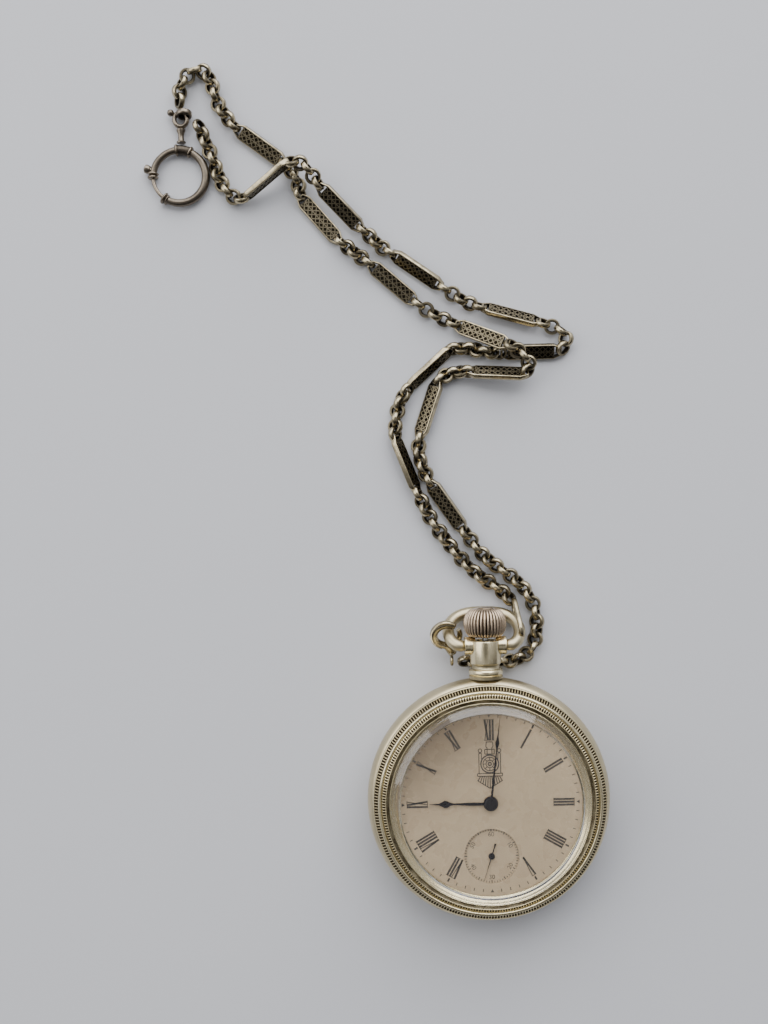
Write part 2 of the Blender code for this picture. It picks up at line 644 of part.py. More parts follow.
def pillars_and_screws():
    """Four pillars between the plates, each with the screw that holds the top plate."""
    for number, angle in enumerate(PILLAR_ANGLES, 1):
        centre = polar(PILLAR_CIRCLE, angle)
        low, high = TRAIN_LOW + 0.15 * MM, PLATE_LOW - 0.15 * MM
        turned(f"pillar_{number}", [(0, low), (PILLAR_RADIUS, low), (PILLAR_RADIUS, high), (0, high)],
               BRASS, centre, 12)
        face = TOP_PLATE_Z - 0.15 * MM
        profile = [(0, face - 0.5 * MM), (1.1 * MM, face - 0.5 * MM), (1.1 * MM, face), (0.5 * MM, face),
                   (0.5 * MM, TRAIN_LOW), (0, TRAIN_LOW)]
        turned(f"plate_screw_{number}", profile, BLUED, centre, 10)


def arbor(name, centre, low, high, finish=STEEL, radius=ARBOR_RADIUS):
    """A plain round arbor."""
    return prism(name, circle(radius, 8, centre), low, high, finish, (*centre, 0))


def add_gear(obj, outline, low, high):
    """Join a toothed wheel to its arbor."""
    return combine(obj, prism(obj.name + "_gear", outline, low, high, BRASS), "UNION")


def going_train():
    """Barrel, centre, third, fourth and escape wheels, in mesh."""
    barrel_phase = 0.0
    rim_low, rim_high = PLATE_LOW - 0.9 * MM, PLATE_LOW - 0.3 * MM
    drum_low = TRAIN_LOW + 1.5 * MM
    barrel_pitch = split(BARREL_DISTANCE, BARREL_TEETH, CENTRE_PINION)
    drum = prism("barrel_drum", teeth(BARREL_TEETH, barrel_pitch, barrel_phase, BARREL), rim_low, rim_high,
                 BRASS, (*BARREL, 0))
    wall = turned("barrel_wall", [(DRUM_RADIUS, rim_low + 0.1 * MM), (DRUM_RADIUS, drum_low),
                                  (DRUM_RADIUS - 0.6 * MM, drum_low), (DRUM_RADIUS - 0.6 * MM, rim_low + 0.1 * MM)],
                  BRASS, BARREL, 40, ring=True)
    combine(drum, wall, "UNION")
    bore(drum, BARREL, BARREL_ARBOR_RADIUS + PIVOT_CLEARANCE, drum_low, rim_high + MM, 12)
    cover_low = drum_low + 0.05 * MM
    cover = [(BARREL_ARBOR_RADIUS + PIVOT_CLEARANCE, cover_low), (DRUM_RADIUS - 0.75 * MM, cover_low),
             (DRUM_RADIUS - 0.75 * MM, cover_low + 0.4 * MM),
             (BARREL_ARBOR_RADIUS + PIVOT_CLEARANCE, cover_low + 0.4 * MM)]
    turned("barrel_cover", cover, BRASS, BARREL, 32, ring=True)

    spring = []
    turns, steps = 4, 10
    inner, outer = BARREL_ARBOR_RADIUS + 0.5 * MM, DRUM_RADIUS - 1.1 * MM
    spring_z = fraction(cover_low + 0.4 * MM, rim_low, 0.5)
    for i in range(turns * steps + 1):
        radius = fraction(inner, outer, i / (turns * steps))
        spring.append((*polar(radius, 360 * i / steps, BARREL), spring_z))
    tube("mainspring", spring, 0.22 * MM, STEEL, 4, (*BARREL, 0))

    to_barrel = angle_between(CENTRE, BARREL)
    centre_phase = meshed_phase(CENTRE_PINION, BARREL_TEETH, barrel_phase, to_barrel + math.pi)
    wheel_low = TRAIN_LOW + 0.95 * MM
    centre = arbor("centre_wheel", CENTRE, TOP_PLATE_Z + 0.2 * MM, HAND_MINUTE_Z - 0.5 * MM)
    add_gear(centre, teeth(CENTRE_PINION, split(BARREL_DISTANCE, CENTRE_PINION, BARREL_TEETH), centre_phase,
                           CENTRE), rim_low - 0.2 * MM, PLATE_LOW - 0.2 * MM)
    third_direction = angle_between(CENTRE, THIRD)
    add_gear(centre, teeth(CENTRE_TEETH, split(CENTRE_TO_THIRD, CENTRE_TEETH, THIRD_PINION), third_direction,
                           CENTRE), wheel_low, wheel_low + 0.3 * MM)

    third = arbor("third_wheel", THIRD, TOP_PLATE_Z + 0.2 * MM, PLATE_TOP - 0.2 * MM)
    pinion_phase = meshed_phase(THIRD_PINION, CENTRE_TEETH, third_direction, third_direction)
    add_gear(third, teeth(THIRD_PINION, split(CENTRE_TO_THIRD, THIRD_PINION, CENTRE_TEETH), pinion_phase,
                          THIRD), wheel_low - 0.3 * MM, wheel_low + 0.6 * MM)
    fourth_direction = angle_between(THIRD, FOURTH)
    third_z = TRAIN_LOW + 2.0 * MM
    add_gear(third, teeth(THIRD_TEETH, split(THIRD_TO_FOURTH, THIRD_TEETH, FOURTH_PINION), fourth_direction,
                          THIRD), third_z, third_z + 0.3 * MM)

    fourth = arbor("fourth_wheel", FOURTH, TOP_PLATE_Z + 0.2 * MM, HAND_SECONDS_Z - 0.1 * MM)
    add_gear(fourth, teeth(FOURTH_PINION, split(THIRD_TO_FOURTH, FOURTH_PINION, THIRD_TEETH),
                           meshed_phase(FOURTH_PINION, THIRD_TEETH, fourth_direction, fourth_direction),
                           FOURTH), third_z - 0.3 * MM, third_z + 0.6 * MM)
    escape_direction = angle_between(FOURTH, ESCAPE)
    fourth_z = TRAIN_LOW + 3.0 * MM
    add_gear(fourth, teeth(FOURTH_TEETH, split(FOURTH_TO_ESCAPE, FOURTH_TEETH, ESCAPE_PINION),
                           escape_direction, FOURTH), fourth_z, fourth_z + 0.3 * MM)

    escape = arbor("escape_wheel", ESCAPE, TOP_PLATE_Z + 0.2 * MM, PLATE_TOP - 0.2 * MM)
    add_gear(escape, teeth(ESCAPE_PINION, split(FOURTH_TO_ESCAPE, ESCAPE_PINION, FOURTH_TEETH),
                           meshed_phase(ESCAPE_PINION, FOURTH_TEETH, escape_direction, escape_direction),
                           ESCAPE), fourth_z - 0.3 * MM, fourth_z + 0.6 * MM)
    add_gear(escape, escape_outline(), ESCAPE_Z, ESCAPE_Z + 0.3 * MM)


DRUM_RADIUS = 7.6 * MM
BARREL_ARBOR_RADIUS = 1.1 * MM
ESCAPE_RADIUS = 3.3 * MM
ESCAPE_Z = TRAIN_LOW + 1.6 * MM
HAND_SECONDS_Z = DIAL_TOP - 0.3 * MM
HAND_HOUR_Z = DIAL_TOP + 0.5 * MM
HAND_MINUTE_Z = DIAL_TOP + 1.1 * MM
HAND_THICKNESS = 0.2 * MM


def escape_outline():
    """Fifteen slanted teeth."""
    points = []
    for i in range(15):
        points.append(polar(ESCAPE_RADIUS, 24 * i, ESCAPE))
        points.append(polar(0.72 * ESCAPE_RADIUS, 24 * i + 3, ESCAPE))
        points.append(polar(0.72 * ESCAPE_RADIUS, 24 * i + 16, ESCAPE))
    return points


def escapement():
    """Pallet fork, balance with its staff and roller, hairspring, cock and regulator."""
    towards = math.degrees(angle_between(ESCAPE, BALANCE))
    fork = []
    half_arm = 0.45 * MM
    reach = ESCAPE_RADIUS + 0.35 * MM - math.dist(ESCAPE, PALLET)
    for along, across in ((reach, 2.6 * MM), (reach + 0.8 * MM, 2.6 * MM), (0.7 * MM, half_arm),
                          (3.2 * MM, half_arm), (3.2 * MM, -half_arm), (0.7 * MM, -half_arm),
                          (reach + 0.8 * MM, -2.6 * MM), (reach, -2.6 * MM)):
        fork.append(polar(across, towards - 90, polar(along, towards, PALLET)))
    pallets = prism("pallet_fork", fork[::-1], ESCAPE_Z, ESCAPE_Z + 0.3 * MM, STEEL, (*PALLET, 0))
    post(pallets, PALLET, ARBOR_RADIUS, TOP_PLATE_Z + 0.2 * MM, PLATE_TOP - 0.2 * MM, 8)

    wheel_z = TOP_PLATE_Z - 1.2 * MM
    staff = arbor("balance_wheel", BALANCE, COCK_LOW + 0.15 * MM, PLATE_TOP - 0.2 * MM)
    rim = turned("balance_rim", [(BALANCE_RADIUS, wheel_z), (BALANCE_RADIUS, wheel_z + 0.8 * MM),
                                 (BALANCE_RADIUS - 0.7 * MM, wheel_z + 0.8 * MM),
                                 (BALANCE_RADIUS - 0.7 * MM, wheel_z)][::-1], BRASS, BALANCE, 32, ring=True)
    arm = prism("balance_arm", [polar(x, 20 + turn, BALANCE) for x, turn in (
        (BALANCE_RADIUS - 0.3 * MM, -7), (BALANCE_RADIUS - 0.3 * MM, 7),
        (BALANCE_RADIUS - 0.3 * MM, 173), (BALANCE_RADIUS - 0.3 * MM, 187))],
        wheel_z + 0.2 * MM, wheel_z + 0.6 * MM, BRASS)
    roller = prism("balance_roller", circle(1.1 * MM, 12, BALANCE), ESCAPE_Z + 0.6 * MM,
                   ESCAPE_Z + 0.9 * MM, STEEL)
    for piece in (rim, arm, roller):
        combine(staff, piece, "UNION")

    coil = []
    turns, steps = 3, 10
    for i in range(turns * steps + 1):
        radius = fraction(0.9 * MM, 2.9 * MM, i / (turns * steps))
        coil.append((*polar(radius, 360 * i / steps, BALANCE), wheel_z - 0.4 * MM))
    tube("hairspring", coil, 0.08 * MM, BLUED, 4, (*BALANCE, 0))


COCK_LOW = TOP_PLATE_Z - 3.2 * MM
COCK_ANGLE = 115.6
COCK_REACH = BALANCE_RADIUS + 1.8 * MM


def balance_cock():
    """Bridge over the balance, standing on the top plate, with the regulator lever on it."""
    thickness = 0.8 * MM
    foot = polar(COCK_REACH, COCK_ANGLE, BALANCE)
    outline = []
    for degrees in range(-90, 91, 30):
        outline.append(polar(1.4 * MM, COCK_ANGLE + degrees, foot))
    for degrees in range(90, 271, 30):
        outline.append(polar(1.9 * MM, COCK_ANGLE + degrees, BALANCE))
    cock = prism("balance_cock", outline, COCK_LOW, COCK_LOW + thickness, BRASS)
    post(cock, foot, 1.1 * MM, COCK_LOW + 0.1 * MM, TOP_PLATE_Z - 0.15 * MM, 12)
    bore(cock, BALANCE, HOLE, COCK_LOW - MM, COCK_LOW + thickness + MM, 8)
    low = COCK_LOW - 0.15 * MM - 0.3 * MM
    lever = []
    for degrees in range(40, 321, 40):
        lever.append(polar(1.5 * MM, COCK_ANGLE + 180 + degrees, BALANCE))
    lever.append(polar(4.4 * MM, COCK_ANGLE + 178, BALANCE))
    lever.append(polar(4.4 * MM, COCK_ANGLE + 182, BALANCE))
    prism("regulator", lever, low, low + 0.3 * MM, STEEL, (*BALANCE, 0))


CLICK_ANGLE = 185.0
RATCHET_PITCH = split(math.dist(BARREL, CROWN_WHEEL), RATCHET_TEETH, CROWN_WHEEL_TEETH)


def click_centre():
    """The click's pivot, beside the ratchet wheel."""
    return polar(RATCHET_PITCH + 2.3 * MM, CLICK_ANGLE, BARREL)


def winding_work():
    """Ratchet wheel, barrel arbor, crown wheel, click and click spring."""
    low, high = TRAIN_LOW + 0.2 * MM, TRAIN_LOW + 0.7 * MM
    distance = math.dist(BARREL, CROWN_WHEEL)
    towards = angle_between(CROWN_WHEEL, BARREL)
    pitch = RATCHET_PITCH
    wheel = arbor("crown_wheel", CROWN_WHEEL, TOP_PLATE_Z + 0.2 * MM, high + 0.1 * MM, STEEL)
    add_gear(wheel, teeth(CROWN_WHEEL_TEETH, split(distance, CROWN_WHEEL_TEETH, RATCHET_TEETH), towards,
                          CROWN_WHEEL), low, high)
    phase = meshed_phase(RATCHET_TEETH, CROWN_WHEEL_TEETH, towards, towards)
    ratchet = prism("ratchet_wheel", teeth(RATCHET_TEETH, pitch, phase, BARREL), low, high, STEEL, (*BARREL, 0))
    bore(ratchet, BARREL, 1.1 * MM, low - MM, high + MM, 4)
    stem = arbor("barrel_arbor", BARREL, TOP_PLATE_Z + 0.2 * MM, PLATE_TOP - 0.2 * MM, STEEL, 0.6 * MM)
    post(stem, BARREL, BARREL_ARBOR_RADIUS, high + 0.2 * MM, PLATE_LOW - 0.3 * MM, 12)

    click_at = click_centre()
    tip = polar(pitch + 0.65 * MM, CLICK_ANGLE - 14, BARREL)
    side = math.degrees(angle_between(click_at, tip))
    outline = [tip]
    outline += [polar(0.8 * MM, side + degrees, click_at) for degrees in range(75, 286, 30)]
    click = prism("click", outline, low, high, STEEL, (*click_at, 0))
    post(click, click_at, ARBOR_RADIUS, TOP_PLATE_Z + 0.2 * MM, high + 0.1 * MM, 8)
    spring_start = polar(pitch + 4.6 * MM, CLICK_ANGLE - 2, BARREL)
    spring_end = polar(pitch + 2.9 * MM, CLICK_ANGLE - 32, BARREL)
    middle = polar(pitch + 3.9 * MM, CLICK_ANGLE - 16, BARREL)
    spring_z = fraction(low, high, 0.5)
    tube("click_spring", [(*point, spring_z) for point in (spring_start, middle, spring_end)],
         0.15 * MM, STEEL, 4)


def motion_work():
    """Cannon pinion, minute wheel and hour wheel under the dial."""
    low = PLATE_TOP + 0.15 * MM
    cannon_pitch = split(MOTION_DISTANCE, CANNON_TEETH, MINUTE_TEETH)
    direction = math.radians(MOTION_ANGLE)
    cannon = arbor("cannon_pinion", CENTRE, low, HAND_MINUTE_Z - 0.15 * MM, STEEL, CANNON_RADIUS)
    add_gear(cannon, teeth(CANNON_TEETH, cannon_pitch, direction, CENTRE), low, low + 0.4 * MM)
    bore(cannon, CENTRE, HOLE, low - MM, HAND_MINUTE_Z + MM, 8)

    minute_low, minute_high = low + 0.05 * MM, low + 0.35 * MM
    minute_phase = meshed_phase(MINUTE_TEETH, CANNON_TEETH, direction, direction)
    minute = prism("minute_wheel", teeth(MINUTE_TEETH, split(MOTION_DISTANCE, MINUTE_TEETH, CANNON_TEETH),
                                         minute_phase, MINUTE), minute_low, minute_high, BRASS, (*MINUTE, 0))
    pinion_phase = direction + math.pi
    add_gear(minute, teeth(MINUTE_PINION, split(MOTION_DISTANCE, MINUTE_PINION, HOUR_TEETH), pinion_phase,
                           MINUTE), minute_low + 0.05 * MM, DIAL_LOW - 0.35 * MM)
    bore(minute, MINUTE, ARBOR_RADIUS + 0.2 * MM, low - MM, DIAL_LOW + MM, 8)

    hour_low = minute_high + 0.3 * MM
    hour_phase = meshed_phase(HOUR_TEETH, MINUTE_PINION, pinion_phase, direction + math.pi)
    hour = prism("hour_wheel", teeth(HOUR_TEETH, split(MOTION_DISTANCE, HOUR_TEETH, MINUTE_PINION),
                                     hour_phase, CENTRE), hour_low, hour_low + 0.3 * MM, BRASS)
    post(hour, CENTRE, HOUR_PIPE_RADIUS, hour_low + 0.1 * MM, HAND_HOUR_Z - 0.15 * MM, 12)
    bore(hour, CENTRE, CANNON_RADIUS + 0.2 * MM, low, HAND_HOUR_Z + MM, 12)


CANNON_RADIUS = 0.75 * MM
HOUR_PIPE_RADIUS = 1.35 * MM
DIAL_HOLE = 1.7 * MM


def dial():
    """Dial with the sunk seconds dial under its round hole."""
    profile = [(0, DIAL_LOW), (DIAL_RADIUS, DIAL_LOW), (DIAL_RADIUS, DIAL_TOP), (0, DIAL_TOP)]
    face = turned("dial", profile, ENAMEL)
    bore(face, CENTRE, DIAL_HOLE, DIAL_LOW - MM, DIAL_TOP + MM, 16)
    bore(face, FOURTH, SECONDS_HOLE_RADIUS, DIAL_LOW - MM, DIAL_TOP + MM, 48)
    high = DIAL_LOW - 0.15 * MM
    seat = SECONDS_HOLE_RADIUS + 0.7 * MM
    sunk = [(HOLE, high - 0.4 * MM), (seat, high - 0.4 * MM), (seat, high), (HOLE, high)]
    turned("seconds_dial", sunk, ENAMEL, FOURTH, 40, ring=True)


def hand(name, shape, low, angle, centre, boss, hole):
    """A flat hand from (along, half width) pairs in mm, turned clockwise from 12 by angle."""
    points = [(half * MM, along * MM) for along, half in shape]
    points += [(-half * MM, along * MM) for along, half in reversed(shape) if half]
    turn = math.radians(-angle)
    outline = [(centre[0] + x * math.cos(turn) - y * math.sin(turn),
                centre[1] + x * math.sin(turn) + y * math.cos(turn)) for x, y in points]
    blade = prism(name, outline, low, low + HAND_THICKNESS, BLUED, (*centre, 0))
    post(blade, centre, boss, low, low + HAND_THICKNESS + 0.05 * MM, 16)
    if hole:
        bore(blade, centre, hole, low - MM, low + MM, 12)
    return blade


HOUR_ANGLE = 270.6
MINUTE_ANGLE = 7.0
SECONDS_ANGLE = 198.0


def hands():
    """Spade hour and minute hands, and the seconds hand with its tail."""
    hour = ((-0.8, 0.5), (1.5, 0.45), (4.0, 0.62), (8.6, 0.30), (9.4, 0.55), (10.0, 1.15), (10.7, 1.30),
            (11.3, 0.75), (12.0, 0.32), (14.3, 0.0))
    minute = ((-0.8, 0.45), (1.5, 0.40), (5.0, 0.50), (12.9, 0.22), (13.6, 0.50), (14.3, 0.62),
              (15.0, 0.40), (15.9, 0.22), (20.6, 0.0))
    seconds = ((-3.0, 0.20), (-2.0, 0.14), (0.0, 0.14), (6.0, 0.0))
    hand("hour_hand", hour, HAND_HOUR_Z, HOUR_ANGLE, CENTRE, 1.7 * MM, CANNON_RADIUS + 0.2 * MM)
    hand("minute_hand", minute, HAND_MINUTE_Z, MINUTE_ANGLE, CENTRE, 1.35 * MM, 0)
    hand("seconds_hand", seconds, HAND_SECONDS_Z, SECONDS_ANGLE, FOURTH, 0.75 * MM, 0)


# ---- Chain -----------------------------------------------------------------------------
HOOK_CENTRE = bow_point(HOOK_INSET - BOW_HALF_WIDTH, HOOK_ALONG_BOW) - Vector((0, 0, HOOK_DROP))
HOOK_ALONG = Vector((1, 0, 0))
HOOK_ACROSS = Vector((0, math.cos(math.radians(HOOK_TILT)), math.sin(math.radians(HOOK_TILT))))
BOW_LINK_ANGLE = math.radians(14)


def clasp():
    """Swivel clasp round the bow's left limb: hook with shank, gate and swivel eye."""
    shank_end = HOOK_CENTRE - 5.6 * MM * HOOK_ACROSS + 1.3 * MM * HOOK_ALONG
    points = arc(HOOK_CENTRE, HOOK_ALONG, HOOK_ACROSS, HOOK_RADIUS, 52, 262, 14)
    points += [HOOK_CENTRE - 4.0 * MM * HOOK_ACROSS + 0.6 * MM * HOOK_ALONG, shank_end]
    radii = [0.75, 0.9] + [1.0] * 12 + [1.1, 0.9]
    tube("swivel_hook", points, HOOK_WIRE, CHAIN, 8, tuple(HOOK_CENTRE), radii)
    gate = arc(HOOK_CENTRE, HOOK_ALONG, HOOK_ACROSS, HOOK_RADIUS + 0.05 * MM, 28, -62, 6)
    tube("hook_gate", gate, 0.7 * HOOK_WIRE, CHAIN, 8, tuple(gate[-1]))
    eye_radius, eye_wire = 1.0 * MM, 0.4 * MM
    eye = shank_end - (HOOK_WIRE * 0.3 + eye_radius + eye_wire + 0.35 * MM) * HOOK_ACROSS
    along = Vector((0, 0, 1)).cross(HOOK_ACROSS).cross(HOOK_ACROSS).normalized()
    ring = arc(eye, HOOK_ACROSS, along, eye_radius, 0, 330, 12)
    tube("swivel_eye", ring, eye_wire, CHAIN, 6, tuple(eye), closed=True)
    return eye


def bow_link():
    """Link round the bow's right limb, square to the limb."""
    near, centre, far = (bow_point(*bow_top(BOW_LINK_ANGLE + turn)) for turn in (-0.1, 0, 0.1))
    tangent = (far - near).normalized()
    first = tangent.cross(Vector((0, 0, 1))).normalized()
    second = tangent.cross(first)
    ring = arc(centre, first, second, BOW_WIRE_RADIUS + GAP + 0.5 * MM, 0, 337.5, 16)
    tube("bow_link", ring, 0.45 * MM, CHAIN, 6, tuple(centre), closed=True)


# Points that the two strands follow on the table, from the bolt ring to the watch.
STRAND_1_ROUTE = [
    (-70.4, 167.0), (-70.3, 171.8), (-67.6, 175.4), (-64.2, 175.3), (-62.4, 171.6), (-61.0, 167.2), (-57.2, 162.0),
    (-51.0, 157.3), (-45.8, 153.2), (-42.6, 148.9), (-41.4, 144.0), (-37.4, 138.9), (-32.5, 133.8),
    (-28.3, 130.4), (-24.6, 127.6), (-19.6, 123.2), (-14.4, 118.6), (-9.5, 115.2), (-4.6, 112.9),
    (2.2, 109.8), (8.4, 106.6), (12.3, 102.6), (9.6, 99.2), (3.4, 100.4), (-3.5, 101.4),
    (-8.8, 99.9), (-11.2, 95.6), (-12.6, 91.0), (-14.3, 84.8), (-13.9, 79.6), (-11.2, 73.8),
    (-6.8, 67.3), (-2.4, 60.9), (1.4, 56.2), (6.6, 52.2), (10.4, 48.6), (12.9, 43.6), (13.1, 38.4),
    (11.8, 33.8), (7.0, 31.2), (0.0, 31.3),
]
STRAND_2_ROUTE = [
    (-66.4, 163.4), (-65.2, 160.6), (-64.0, 157.4), (-62.4, 153.4), (-61.0, 148.9), (-58.2, 145.2),
    (-54.2, 144.8), (-49.4, 148.4), (-44.4, 151.6), (-40.4, 151.0), (-37.0, 146.8), (-31.4, 140.6),
    (-25.8, 135.4), (-22.0, 131.8), (-17.4, 128.9), (-12.0, 124.8), (-6.3, 121.0), (-1.4, 118.0),
    (5.0, 116.0), (11.0, 114.1), (17.4, 112.4), (21.6, 109.9), (20.6, 106.3), (15.0, 105.6),
    (9.4, 106.0), (3.3, 106.0), (-2.4, 107.0), (-8.0, 106.3), (-13.6, 101.2), (-18.2, 95.4), (-19.7, 90.4),
    (-19.9, 85.0), (-17.2, 77.6), (-14.2, 70.9), (-11.6, 65.6), (-8.2, 60.6), (-4.2, 55.6),
    (0.0, 51.6), (4.2, 48.8), (7.6, 45.2),
]
STRAND_1_OVER = (8.6, 106.0)
STRAND_2_OVER = (-44.2, 151.3)
CROSSING_LIFT = 4.9 * MM
CROSSING_REACH = 16.0 * MM


def lay(route, crossing, end=None):
    """Evenly spaced points of a strand: on the table, with a low hump over its crossing."""
    flat = [Vector((x * MM, y * MM, CHAIN_Z)) for x, y in route] + ([end] if end else [])
    points = smooth_path(flat, CHAIN_STEP)
    for point in points:
        away = math.dist(point[:2], [value * MM for value in crossing]) / CROSSING_REACH
        if away < 1:
            point.z += CROSSING_LIFT * math.cos(away * math.pi / 2) ** 2
    return points


def strands(clasp_eye):
    """The two strands of the chain as plain round bars."""
    end = clasp_eye + Vector((1.8 * MM, -0.2 * MM, 0))
    tube("chain_strand_1", lay(STRAND_1_ROUTE, STRAND_1_OVER, end), CHAIN_RADIUS, CHAIN, 8)
    tube("chain_strand_2", lay(STRAND_2_ROUTE, STRAND_2_OVER), CHAIN_RADIUS, CHAIN, 8)


BOLT_MOUTH = 140.0
BOLT_TRAVEL = 26.0
BOLT_END = 112.0
BOLT_KNOB = 152.0
BOLT_WIRE = 0.42 * MM


def bolt_ring():
    """Spring ring at the middle of the chain: hollow body, sliding bolt with knob, shackle."""
    centre = Vector((*BOLT_RING_CENTRE, 1.6 * BOLT_RING_WIRE + 0.05 * MM))
    x, y = Vector((1, 0, 0)), Vector((0, 1, 0))
    body = arc(centre, x, y, BOLT_RING_RADIUS, BOLT_MOUTH, -125, 24)
    ring = as_mesh(tube("bolt_ring_body", body, BOLT_RING_WIRE, GUNMETAL, 8, tuple(centre),
                        [1.25] * 8 + [1.0] * 15 + [1.3]))
    channel = arc(centre, x, y, BOLT_RING_RADIUS, BOLT_MOUTH + 5, BOLT_END - BOLT_TRAVEL - 3, 10)
    combine(ring, as_mesh(tube("bolt_channel", channel, BOLT_WIRE + GAP, GUNMETAL, 8)), "DIFFERENCE")
    slot = arc(centre, x, y, BOLT_RING_RADIUS + 0.9 * MM, BOLT_MOUTH + 5, BOLT_KNOB - BOLT_TRAVEL - 9, 6)
    combine(ring, as_mesh(tube("bolt_slot", slot, 0.85 * MM, GUNMETAL, 8)), "DIFFERENCE")
    bolt = arc(centre, x, y, BOLT_RING_RADIUS, BOLT_END, 229, 12)
    slider = as_mesh(tube("ring_bolt", bolt, BOLT_WIRE, GUNMETAL, 8, tuple(centre)))
    angle = math.radians(BOLT_KNOB)
    out = x * math.cos(angle) + y * math.sin(angle)
    knob = tube("thumb_knob", [centre + out * (BOLT_RING_RADIUS + 0.1 * MM),
                               centre + out * (BOLT_RING_RADIUS + 2.3 * MM)], 0.55 * MM, GUNMETAL, 8)
    combine(slider, as_mesh(knob), "UNION")
    collar = arc(centre, x, y, BOLT_RING_RADIUS, 62, 84, 4)
    combine(ring, as_mesh(tube("ring_collar", collar, 1.6 * BOLT_RING_WIRE, GUNMETAL, 8, (0, 0, 0),
                               [0.9, 1.0, 1.0, 0.9])), "UNION")
    base = centre + y * (BOLT_RING_RADIUS + 1.6 * BOLT_RING_WIRE + GAP) + x * 0.6 * MM
    tube("swivel_post", [base, base + y * 3.4 * MM], 0.6 * MM, GUNMETAL, 8, tuple(base), [1.3, 1.0])
    loop_centre = base + y * (3.4 + 0.35 + 2.0) * MM
    loop = arc(loop_centre, x, y, 1.55 * MM, 0, 337.5, 16)
    tube("ring_shackle", loop, 0.45 * MM, GUNMETAL, 6, tuple(loop_centre), closed=True)


# ---- Build -------------------------------------------------------------------------------
back_cover()
case_band()
case_screws()
bezel()
crystal()
pendant_neck()
crown()
winding_stem()
winding_parts()
bow()
main_plate()
top_plate()
pillars_and_screws()
going_train()
escapement()
balance_cock()
winding_work()
motion_work()
dial()
hands()
bow_link()
strands(clasp())
bolt_ring()
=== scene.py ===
"""Looks of an open-face pocket watch lying on its back, with its silver guard chain.

Metres, +Z up out of the dial and +Y to the pendant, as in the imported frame.  Each class
holds the sizes of one sub-assembly and builds the detailed pieces that stand for its
plain solids; each finish is a frozen dataclass that builds one material.
"""

import json
import logging
import math
from dataclasses import dataclass, field
from enum import Enum
from typing import Callable, Iterable, Sequence

import bmesh
import bpy
from mathutils import Matrix, Quaternion, Vector
from mathutils.geometry import interpolate_bezier


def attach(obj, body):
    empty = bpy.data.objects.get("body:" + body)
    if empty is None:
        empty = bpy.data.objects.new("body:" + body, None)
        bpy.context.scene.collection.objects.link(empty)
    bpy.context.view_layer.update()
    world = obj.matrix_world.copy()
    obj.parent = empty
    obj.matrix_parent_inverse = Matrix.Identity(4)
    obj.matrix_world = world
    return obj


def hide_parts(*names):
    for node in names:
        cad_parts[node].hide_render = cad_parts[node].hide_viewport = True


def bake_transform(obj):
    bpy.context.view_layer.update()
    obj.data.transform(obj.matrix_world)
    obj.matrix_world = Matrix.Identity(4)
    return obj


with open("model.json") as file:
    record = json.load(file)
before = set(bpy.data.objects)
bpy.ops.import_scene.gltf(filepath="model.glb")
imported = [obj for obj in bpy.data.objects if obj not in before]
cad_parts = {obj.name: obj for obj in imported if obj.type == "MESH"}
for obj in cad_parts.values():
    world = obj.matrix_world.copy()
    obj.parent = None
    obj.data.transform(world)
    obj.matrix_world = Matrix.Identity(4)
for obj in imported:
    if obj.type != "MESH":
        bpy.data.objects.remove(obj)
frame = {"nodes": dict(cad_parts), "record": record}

MM = 0.001
Colour = tuple[float, float, float]
Flat = tuple[float, float]
log = logging.getLogger("pocket_watch")


# ---- Shader maths --------------------------------------------------------------------
class Signal:
    """One output of a shader node; arithmetic on it adds Math nodes."""

    def __init__(self, graph: "Graph", socket: bpy.types.NodeSocket) -> None:
        """Args: graph: the tree it belongs to. socket: the output it stands for."""
        self.graph = graph
        self.socket = socket

    def __add__(self, other: "Signal | float") -> "Signal":
        """Sum."""
        return self.graph.math("ADD", self, other)

    def __radd__(self, other: float) -> "Signal":
        """Sum with a number on the left."""
        return self.graph.math("ADD", other, self)

    def __sub__(self, other: "Signal | float") -> "Signal":
        """Difference."""
        return self.graph.math("SUBTRACT", self, other)

    def __rsub__(self, other: float) -> "Signal":
        """Difference from a number on the left."""
        return self.graph.math("SUBTRACT", other, self)

    def __mul__(self, other: "Signal | float") -> "Signal":
        """Product."""
        return self.graph.math("MULTIPLY", self, other)

    def __rmul__(self, other: float) -> "Signal":
        """Product with a number on the left."""
        return self.graph.math("MULTIPLY", other, self)

    def between(self, low: float, high: float) -> "Signal":
        """0 below low, 1 above high, and a smooth step from one to the other."""
        return self.graph.node("ShaderNodeMapRange", {"interpolation_type": "SMOOTHSTEP"},
                               {"Value": self, "From Min": low, "From Max": high}, "Result")


